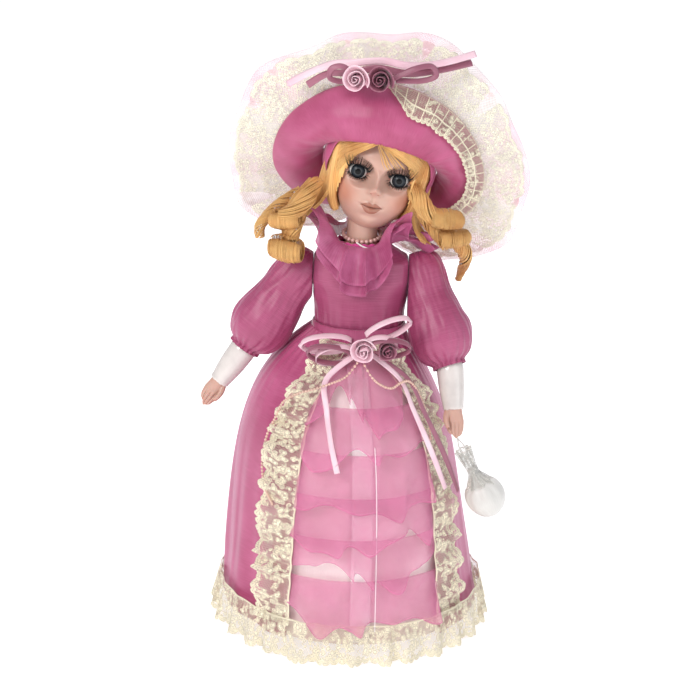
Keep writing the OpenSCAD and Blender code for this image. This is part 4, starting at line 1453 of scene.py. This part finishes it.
def build_sleeves():
    cloth = taffeta("sleeve taffeta", tone("bodice_light"), tone("bodice_dark"))
    line = [(r, 0, z if z > 0 else z * 70 / 68) for r, z in SLEEVE]
    for side, name in ((1, "left"), (-1, "right")):
        arm = arm_matrix(side)
        sleeve = Piece(f"sleeve_{name}_taffeta")

        def place(u, v, side=side, arm=arm):
            a = 360 * u
            p = along(line, v)
            gather = (
                0.8 * wave(a * sizes().sleeve_pleats + 90 * ring_noise(a, 0, 3.0, side))
                * (bell(p.z + 68, 9) + 0.8 * bell(p.z - 17, 7))
            )
            folds = (
                1.5 * ring_noise(a, p.z / 26, 2.2, 5.0 + side)
                + 0.9 * ring_noise(a, p.z / 14, 5.0, 2.0 + side)
            )
            r = p.x + gather * ease(p.x, 2, 9) + folds * ease(p.x, 5, 14) * ease(p.z, -68, -56) - 0.4
            q = arm @ ring_point(a, r, p.z)
            q.x = side * max(side * q.x, ARMHOLE_X + 0.1)
            return q

        sleeve.patch(220, 90, place, (150.0, 130.0))
        sleeve.weld(outward=True)
        obj = sleeve.done(f"arm_{name}", cloth, "mauve_taffeta", [f"sleeve_{name}"], thick=0.5)


# ---- Ribbons, roses and beads at the waist ----------------------------------------------------------


def build_bow():
    pale = satin("pale bow ribbon", tone("pale_light"), tone("pale_dark"), 0.28)
    mauve = satin("mauve bow ribbon", tone("mauve_light"), tone("mauve_dark"), 0.30)

    def loop(piece, side, reach_x, rise, back, droop):
        points = []
        for a in range(20, 350, 20):
            x = side * (4 + reach_x * (0.5 - 0.5 * wave(a + 90)))
            points.append((x, back - 3.5 * wave(a), WAIST_Z + rise + 7.5 * wave(a) + droop * abs(x) / 30))
        piece.ribbon(points, 5.4, 60, (0.25 * side, -0.5, 1), 0.2)

    for name, paint, slot, node, rows in (
        (
            "bow_pale_loops", pale, "pale_satin_ribbon", "bow_pale",
            ((-1, 38, 3, -54, -2), (-1, 27, -2, -58, -6), (1, 33, 6, -57, 13), (1, 24, 2, -58, 2))
        ),
        (
            "bow_mauve_loops", mauve, "mauve_satin_ribbon", "bow_mauve",
            ((-1, 33, -6, -60, 2), (1, 34, 0, -60, 2))
        ),
    ):
        piece = Piece(name)
        for row in rows:
            loop(piece, *row)
        piece.done("body", paint, slot, [node], thick=0.25)

    tails = (
        (
            "tail_pale_left_ribbon", pale, "pale_satin_ribbon", "tail_pale_left",
            [(20 + 54 * k, k) for k in (0.12, 0.2, 0.3, 0.39, 0.475)]
        ),
        (
            "tail_pale_right_ribbon", pale, "pale_satin_ribbon", "tail_pale_right",
            [(-23 + 42 * k, k) for k in (0.12, 0.20, 0.29, 0.38)]
        ),
        (
            "tail_mauve_left_ribbon", mauve, "mauve_satin_ribbon", "tail_mauve_left",
            [(24 + 64 * k, k) for k in (0.12, 0.22, 0.33, 0.43, 0.51)]
        ),
    )
    for name, paint, slot, node, turns in tails:
        knot = Vector((0 if turns[0][0] < 0 else 9, -58, WAIST_Z - 3))
        path = [knot, *(skirt_point(a, k, 10.5 + 2 * k) for a, k in turns)]
        piece = Piece(name)
        middle = turns[len(turns) // 2][0]
        piece.ribbon(
            path, 4.2, 70, lambda k, m=middle: (wave(m + 30 * wave(400 * k)), -wave(m + 90), 0.35),
            cup=0.15
        )
        obj = piece.done("body", paint, slot, [node], thick=0.25)
        fine = [along(path, i / 60) * 0.001 for i in range(61)]
        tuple(fine[0])
        length_of(fine)

    for name, paint, slot, node, at, r, lean in (
        (
            "waist_rose_pale_petals", pale, "pale_satin_ribbon", "waist_rose_pale", (5, -62, WAIST_Z + 3),
            9.2, -8
        ),
        (
            "waist_rose_mauve_petals", mauve, "mauve_satin_ribbon", "waist_rose_mauve",
            (20, -60, WAIST_Z + 2), 7.4, 14
        ),
    ):
        piece = Piece(name)
        rose(
            piece, r,
            Matrix.Translation(at) @ Matrix.Rotation(
                math.radians(lean), 4, "Z"
            ) @ Matrix.Rotation(math.radians(8), 4, "X"),
            3.2, r
        )
        piece.done("body", paint, slot, [node], thick=0.35)


STRING_LEFT = [
    (8, 0.11, 14), (13, 0.13, 14), (19, 0.14, 14), (25, 0.13, 14), (31, 0.13, 13), (36, 0.15, 11),
    (40, 0.18, 8), (42, 0.22, 7), (43, 0.27, 6), (43, 0.31, 5)
]
STRING_RIGHT = [
    (-6, 0.11, 14), (-14, 0.13, 14), (-23, 0.15, 14), (-32, 0.17, 13), (-39, 0.2, 11), (-43, 0.25, 7),
    (-46, 0.31, 6), (-47, 0.38, 5), (-45, 0.45, 5), (-41, 0.5, 5), (-37, 0.53, 6)
]


def build_beads():
    paint = smooth_paint("peach beads", tone("bead"), 0.2, coat=0.6, coat_rough=0.1)
    for name, rows in (("left", STRING_LEFT), ("right", STRING_RIGHT)):
        knot = Vector((2, -62, WAIST_Z - 6))
        path = [knot, *(skirt_point(a, k, out) for a, k, out in rows)]
        fine = [along(path, i / 400) for i in range(401)]
        whole = length_of(fine)
        string = Piece(f"bead_string_{name}_beads")
        string.tube(path, 0.22, 6, 60)
        count = int(whole / 2.3)
        for i in range(count + 1):
            string.ball(along(path, i / count), 1.12 if i % 2 else 1.02, 2)
        obj = string.done("body", paint, "peach_bead", [f"bead_string_{name}"])
        line = [p * 0.001 for p in fine[::5]]
        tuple(line[0])
        length_of(line)


# ---- Arms, legs and bag ------------------------------------------------------------------------------


def build_arms():
    glaze = smooth_paint("white glaze", tone("glaze"), 0.16, coat=0.7, coat_rough=0.08)
    flesh = skin_paint("hand bisque", tone("hand"), 0.40)
    rim = [
        (0.2, 9.9), (4, 9.2), (8, 6.2), (10, 1), (10.0, -6), (9.6, -14), (8.8, -21), (7.9, -27),
        (7.5, -30), (6.6, -30.8), (5, -31)
    ]
    for side, name in ((1, "left"), (-1, "right")):
        fore = forearm_matrix(side)
        shaft = Piece(f"forearm_{name}_glaze")

        def glazed(u, v):
            p = along([(r, 0, z) for r, z in rim], v)
            a = 360 * u
            p.z += 0.7 * ring_noise(a, 0, 3.0, 4.0) * bell(p.z + 30, 3)
            return ring_point(a, p.x, p.z)

        shaft.patch(72, 60, glazed)
        shaft.weld(outward=True)
        shaft.done(f"forearm_{name}", glaze, "white_porcelain", [f"forearm_{name}"], thick=0.4, place=fore)

        hand = Piece(f"hand_{name}_bisque")
        tips = ((-0.72, 0.86), (-0.25, 0.97), (0.25, 1.0), (0.72, 0.94))

        def palm(u, v, side=side):
            t = 2 * math.pi * u
            w, s = math.cos(t), math.sin(t)
            wide = profile(
                [(0, 6.2), (0.2, 6.3), (0.45, 6.9), (0.7, 6.3), (0.9, 4.9), (0.97, 3.4), (1, 0)], v
            )
            deep = profile(
                [(0, 6.0), (0.2, 5.2), (0.45, 4.0), (0.7, 3.1), (0.9, 2.3), (0.97, 1.5), (1, 0)], v
            )
            groove = sum(bell(w - g, 0.09) for g in (-0.5, 0.0, 0.5)) * ease(v, 0.42, 0.58)
            knuckle = 0.35 * bell(v - 0.5, 0.06) * max(s, 0)
            long = sum(n * bell(w - g, 0.33) for g, n in tips) / sum(bell(w - g, 0.33) for g, _ in tips)
            z = -28.6 - 24.6 * v * mix(1.0, long, ease(v, 0.5, 1.0))
            return Vector((wide * w, deep * s * (1 - 0.34 * groove) + knuckle - 3.2 * ease(v, 0.4, 1.2), z))

        hand.patch(96, 60, palm, closed=True)
        hand.tube(
            [
                (-side * 4.0, -1.5, -31), (-side * 5.8, -4.2, -36), (-side * 5.6, -6.2, -41),
                (-side * 4.6, -6.8, -44)
            ],
            lambda k: mix(2.7, 1.5, k), 14, 20
        )
        hand.done(f"forearm_{name}", flesh, "white_porcelain", place=fore)


def build_legs():
    cotton = smooth_paint("white cotton", (0.78, 0.76, 0.72), 0.85, sheen=0.3)
    boot_paint = smooth_paint("plum leather", tone("boot"), 0.38, coat=0.2)
    trim = smooth_paint("boot lacing", (0.55, 0.40, 0.38), 0.6)
    for side, name in ((1, "left"), (-1, "right")):
        x0 = 17 * side
        leg = Piece(f"pantalette_{name}_cotton")
        rim = [(12.6, 178), (15.6, 172), (15.8, 140), (14.8, 104), (13.8, 96), (15.8, 86), (17.2, 78.5)]

        def tube(u, v, x0=x0):
            a = 360 * u
            p = along([(r, 0, z) for r, z in rim], v)
            r = p.x - 0.9 + 0.7 * wave(a * 14) * (bell(p.z - 96, 8) + bell(p.z - 178, 8) + bell(p.z - 78, 10))
            q = ring_point(a, r, p.z)
            q.x = x0 + max(min(q.x, 16.5), -16.5)
            return q

        leg.patch(120, 60, tube, (100.0, 110.0))
        leg.weld()
        obj = leg.done(f"leg_{name}", cotton, "white_cotton", [f"pantalette_{name}"], thick=0.5)

        boot = Piece(f"boot_{name}_leather")
        shape = [
            (0, -9, 24.8, 9.4), (2.4, -9, 24.8, 9.4), (2.6, -9, 23.8, 8.8), (8, -9.5, 24, 9),
            (13, -8, 21, 8.4), (19, -3, 14.5, 7.9), (27, 0.5, 10.5, 8.4), (35, 1, 10.2, 9.3),
            (35.6, 1, 9.2, 8.4), (30, 0.8, 8.6, 7.8)
        ]

        def upper(u, v, x0=x0):
            a = 360 * u
            z = along([(row[0], 0, 0) for row in shape], v).x
            y, deep, wide = along([row[1:] for row in shape], v)
            return Vector(
                (
                    x0 + wide * wave(a) * mix(1.0, 0.82, ease(-wave(a + 90), 0, 1) * ease(20 - z, 0, 12)),
                    y - deep * wave(a + 90), max(z, 0)
                )
            )

        boot.patch(80, 70, upper)
        boot.weld()
        rims = [e for e in boot.mesh.edges if e.is_boundary and e.verts[0].co.z < 1]
        bmesh.ops.contextual_create(boot.mesh, geom=rims)
        bmesh.ops.recalc_face_normals(boot.mesh, faces=boot.mesh.faces)
        boot.done(f"leg_{name}", boot_paint, "plum_leather", [f"shoe_{name}"])

        lacing = Piece(f"boot_{name}_lacing")
        for i in range(5):
            z = 15 + 4 * i
            y = -profile([(13, 25), (19, 17.2), (27, 10), (35, 9.2)], z) - 0.3
            for way in (-1, 1):
                lacing.tube(
                    [(x0 - 3 * way, y + 1.2, z), (x0, y, z + 1.6), (x0 + 3 * way, y + 1.2, z + 3.2)],
                    0.45, 6, 8
                )
        lacing.done(f"leg_{name}", trim, "plum_leather")


def build_bag():
    white = satin("bag satin", tone("bag_light"), tone("bag_dark"), 0.38)
    net = lace("bag lace", (0.86, 0.84, 0.78), 38.0, 1.5, 0.45)
    pouch = Piece("bag_pouch_satin")
    rim = [
        (0.2, -26), (4, -27), (3.2, -31), (7, -38), (12, -42), (15, -49), (14.4, -56), (10, -64),
        (5, -67.4), (0.2, -68)
    ]

    def sack(u, v):
        a = 360 * u
        p = along([(r, 0, z) for r, z in rim], v)
        r = (
            p.x
            + (
                0.9 * wave(a * 11) * bell(p.z + 34, 7) + 0.8 * ring_noise(a, p.z / 15, 2.5, 6.0)
            ) * ease(p.x, 0, 6)
        )
        return ring_point(a, r, p.z)

    pouch.patch(120, 60, sack, (90.0, 60.0))
    pouch.weld(outward=True)
    obj = pouch.done("bag", white, "white_satin", ["bag_pouch"], place=BAG)

    frill = Piece("bag_frill_lace")
    edge = [(5.6, -10), (5.0, -18), (4.4, -29), (5.4, -32), (9, -38), (12.4, -45.5)]

    def skirt(u, v):
        a = 360 * u
        p = along([(r, 0, z) for r, z in edge], v)
        r = p.x + 1.3 * wave(a * 8) * (bell(p.z + 10, 9) + bell(p.z + 46, 9))
        return ring_point(a, r, p.z)

    frill.patch(140, 36, skirt, (90.0, 38.0))
    frill.weld()
    obj = frill.done("bag", net, "cream_lace", ["bag_frill"], thick=0.3, place=BAG)

    cord = Piece("bag_cord_twist")
    for way in (-1, 1):
        cord.tube([(0, 0, -0.2), (way * 2.0, 0, -8), (way * 1.6, 0, -18), (way * 0.6, 0, -27)], 0.6, 8, 24)
    cord.done("bag", white, "white_satin", ["bag_cord"], place=BAG)


def paint_hidden_parts():
    """The CAD nodes that stay in view keep their own shapes and get their cloth or porcelain."""
    cloth = smooth_paint("stuffed cotton", (0.80, 0.75, 0.66), 0.9, sheen=0.2)
    bisque = skin_paint("leg bisque", SKIN, 0.35)
    pearl = smooth_paint("pink pearl", tone("pearl"), 0.22, coat=0.8, coat_rough=0.1)
    for paint, names in (
        (cloth, ("torso", "cloth_arm_left", "cloth_arm_right", "cloth_leg_left", "cloth_leg_right")),
        (bisque, ("shin_left", "shin_right")),
        (pearl, ("necklace",)),
    ):
        for name in names:
            data = bpy.data.objects[name].data
            data.materials.clear()
            data.materials.append(paint)


# ---- Stage -------------------------------------------------------------------------------------------


def build_stage():
    floor = bmesh.new()
    bmesh.ops.create_grid(floor, x_segments=1, y_segments=1, size=20)
    data = bpy.data.meshes.new("floor")
    floor.to_mesh(data)
    floor.free()
    obj = bpy.data.objects.new("floor", data)
    plain = Paint("plain floor")
    data.materials.append(plain.set(base=(0.9, 0.9, 0.9), rough=0.9, glow=0.62))
    bpy.context.scene.collection.objects.link(obj)

    lamps = (
        ("key", (-1.1, -1.5, 1.5), 0.9, 24.0, (1.0, 0.98, 0.95)),
        ("fill", (1.5, -1.2, 0.9), 1.4, 7.0, (0.96, 0.98, 1.0)),
        ("back", (0.3, 1.4, 1.4), 1.2, 9.0, (1.0, 1.0, 1.0)),
    )
    aim = Vector((0, 0, 0.24))
    for name, place, size, power, tint in lamps:
        light = bpy.data.lights.new(name, "AREA")
        light.energy, light.size, light.color = power, size, tint
        lamp = bpy.data.objects.new(name, light)
        lamp.location = place
        lamp.rotation_euler = (aim - Vector(place)).to_track_quat("-Z", "Y").to_euler()
        bpy.context.scene.collection.objects.link(lamp)

    world = bpy.data.worlds.new("pale surroundings")
    world.use_nodes = True
    world.node_tree.nodes["Background"].inputs["Color"].default_value = (0.95, 0.96, 1.0, 1)
    world.node_tree.nodes["Background"].inputs["Strength"].default_value = 0.5
    bpy.context.scene.world = world

    lens = bpy.data.cameras.new("camera")
    lens.lens, lens.sensor_width, lens.clip_end = 88.0, 36.0, 50
    camera = bpy.data.objects.new("camera", lens)
    up = math.radians(18.0)
    target = Vector((-0.0060, 0, 0.2150))
    camera.location = target + Vector((0, -math.cos(up), math.sin(up))) * 1.318
    turn = (target - camera.location).to_track_quat("-Z", "Y").to_matrix().to_4x4()
    camera.rotation_euler = (turn @ Matrix.Rotation(math.radians(2.0), 4, "Z")).to_euler()
    bpy.context.scene.collection.objects.link(camera)
    bpy.context.scene.camera = camera
    scene = bpy.context.scene
    scene.view_settings.view_transform = "Standard"


# ---- Add-on ------------------------------------------------------------------------------------------


class DOLL_OT_head(bpy.types.Operator):
    """Builds the painted head and the shoulder plate."""

    bl_idname = "doll.head"
    bl_label = "Head"
    bl_options = {"REGISTER", "UNDO"}

    def execute(self, context):
        build_head()
        return {"FINISHED"}


class DOLL_OT_eyes(bpy.types.Operator):
    """Builds the glass eyes."""

    bl_idname = "doll.eyes"
    bl_label = "Eyes"
    bl_options = {"REGISTER", "UNDO"}

    def execute(self, context):
        build_eyes()
        return {"FINISHED"}


class DOLL_OT_lashes(bpy.types.Operator):
    """Builds the upper and lower lashes."""

    bl_idname = "doll.lashes"
    bl_label = "Lashes"
    bl_options = {"REGISTER", "UNDO"}

    def execute(self, context):
        build_lashes()
        return {"FINISHED"}


class DOLL_OT_wig(bpy.types.Operator):
    """Builds the wig's cap, fringe and ringlets."""

    bl_idname = "doll.wig"
    bl_label = "Wig"
    bl_options = {"REGISTER", "UNDO"}

    def execute(self, context):
        build_wig()
        return {"FINISHED"}


class DOLL_OT_hat(bpy.types.Operator):
    """Builds the brim, crown and veil."""

    bl_idname = "doll.hat"
    bl_label = "Hat"
    bl_options = {"REGISTER", "UNDO"}

    def execute(self, context):
        build_hat()
        return {"FINISHED"}


class DOLL_OT_hat_trim(bpy.types.Operator):
    """Builds the hat's lace, roses and ribbons."""

    bl_idname = "doll.hat_trim"
    bl_label = "Hat trim"
    bl_options = {"REGISTER", "UNDO"}

    def execute(self, context):
        build_hat_trim()
        return {"FINISHED"}


class DOLL_OT_collar(bpy.types.Operator):
    """Builds the two layers of the organza collar."""

    bl_idname = "doll.collar"
    bl_label = "Collar"
    bl_options = {"REGISTER", "UNDO"}

    def execute(self, context):
        build_collar()
        return {"FINISHED"}


class DOLL_OT_bodice(bpy.types.Operator):
    """Builds the bodice, sash, neck tape and neck braid."""

    bl_idname = "doll.bodice"
    bl_label = "Bodice"
    bl_options = {"REGISTER", "UNDO"}

    def execute(self, context):
        build_bodice()
        return {"FINISHED"}


class DOLL_OT_sleeves(bpy.types.Operator):
    """Builds the puffed sleeves."""

    bl_idname = "doll.sleeves"
    bl_label = "Sleeves"
    bl_options = {"REGISTER", "UNDO"}

    def execute(self, context):
        build_sleeves()
        return {"FINISHED"}


class DOLL_OT_skirt(bpy.types.Operator):
    """Builds the overskirt, the under-dress, its placket and the seam thread."""

    bl_idname = "doll.skirt"
    bl_label = "Skirt"
    bl_options = {"REGISTER", "UNDO"}

    def execute(self, context):
        build_skirt()
        return {"FINISHED"}


class DOLL_OT_tiers(bpy.types.Operator):
    """Builds the six organza ruffles of the front panel."""

    bl_idname = "doll.tiers"
    bl_label = "Ruffles"
    bl_options = {"REGISTER", "UNDO"}

    def execute(self, context):
        build_tiers()
        return {"FINISHED"}


class DOLL_OT_laces(bpy.types.Operator):
    """Builds the edge laces and the hem lace."""

    bl_idname = "doll.laces"
    bl_label = "Laces"
    bl_options = {"REGISTER", "UNDO"}

    def execute(self, context):
        build_laces()
        return {"FINISHED"}


class DOLL_OT_bow(bpy.types.Operator):
    """Builds the waist bow, its tails and its roses."""

    bl_idname = "doll.bow"
    bl_label = "Bow"
    bl_options = {"REGISTER", "UNDO"}

    def execute(self, context):
        build_bow()
        return {"FINISHED"}


class DOLL_OT_beads(bpy.types.Operator):
    """Builds the two strings of beads."""

    bl_idname = "doll.beads"
    bl_label = "Beads"
    bl_options = {"REGISTER", "UNDO"}

    def execute(self, context):
        build_beads()
        return {"FINISHED"}


class DOLL_OT_arms(bpy.types.Operator):
    """Builds the glazed forearms and the hands."""

    bl_idname = "doll.arms"
    bl_label = "Forearms"
    bl_options = {"REGISTER", "UNDO"}

    def execute(self, context):
        build_arms()
        return {"FINISHED"}


class DOLL_OT_legs(bpy.types.Operator):
    """Builds the pantalettes and the boots."""

    bl_idname = "doll.legs"
    bl_label = "Legs"
    bl_options = {"REGISTER", "UNDO"}

    def execute(self, context):
        build_legs()
        return {"FINISHED"}


class DOLL_OT_bag(bpy.types.Operator):
    """Builds the bag with its frill and cord."""

    bl_idname = "doll.bag"
    bl_label = "Bag"
    bl_options = {"REGISTER", "UNDO"}

    def execute(self, context):
        build_bag()
        return {"FINISHED"}


class DOLL_OT_plain_parts(bpy.types.Operator):
    """Paints the parts that keep their plain shapes."""

    bl_idname = "doll.plain_parts"
    bl_label = "Plain parts"
    bl_options = {"REGISTER", "UNDO"}

    def execute(self, context):
        paint_hidden_parts()
        return {"FINISHED"}


class DOLL_OT_stage(bpy.types.Operator):
    """Builds the floor, the lights, the surroundings and the camera."""

    bl_idname = "doll.stage"
    bl_label = "Stage"
    bl_options = {"REGISTER", "UNDO"}

    def execute(self, context):
        build_stage()
        return {"FINISHED"}


OPERATORS = (
    DOLL_OT_head,
    DOLL_OT_eyes,
    DOLL_OT_lashes,
    DOLL_OT_wig,
    DOLL_OT_hat,
    DOLL_OT_hat_trim,
    DOLL_OT_collar,
    DOLL_OT_bodice,
    DOLL_OT_sleeves,
    DOLL_OT_skirt,
    DOLL_OT_tiers,
    DOLL_OT_laces,
    DOLL_OT_bow,
    DOLL_OT_beads,
    DOLL_OT_arms,
    DOLL_OT_legs,
    DOLL_OT_bag,
    DOLL_OT_plain_parts,
    DOLL_OT_stage,
)


class DOLL_PT_panel(bpy.types.Panel):
    """Settings and building steps of the doll."""

    bl_idname = "DOLL_PT_panel"
    bl_label = "Costumed doll"
    bl_space_type = "VIEW_3D"
    bl_region_type = "UI"
    bl_category = "Doll"

    def draw(self, context):
        layout = self.layout
        for group in (context.scene.doll_sizes, context.scene.doll_colours):
            box = layout.box()
            for name in group.__annotations__:
                box.prop(group, name)
        for operator in OPERATORS:
            layout.operator(operator.bl_idname)


CLASSES = (DollColours, DollSizes, *OPERATORS, DOLL_PT_panel)


def register():
    for cls in CLASSES:
        bpy.utils.register_class(cls)
    bpy.types.Scene.doll_colours = PointerProperty(type=DollColours)
    bpy.types.Scene.doll_sizes = PointerProperty(type=DollSizes)


def unregister():
    del bpy.types.Scene.doll_sizes
    del bpy.types.Scene.doll_colours
    for cls in reversed(CLASSES):
        bpy.utils.unregister_class(cls)


def main():
    """Builds the whole doll with the default settings."""
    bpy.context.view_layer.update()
    register()
    bpy.ops.doll.head()
    bpy.ops.doll.eyes()
    bpy.ops.doll.lashes()
    bpy.ops.doll.wig()
    bpy.ops.doll.hat()
    bpy.ops.doll.hat_trim()
    bpy.ops.doll.collar()
    bpy.ops.doll.bodice()
    bpy.ops.doll.sleeves()
    bpy.ops.doll.skirt()
    bpy.ops.doll.tiers()
    bpy.ops.doll.laces()
    bpy.ops.doll.bow()
    bpy.ops.doll.beads()
    bpy.ops.doll.arms()
    bpy.ops.doll.legs()
    bpy.ops.doll.bag()
    bpy.ops.doll.plain_parts()
    bpy.ops.doll.stage()


if __name__ == "__main__":
    main()
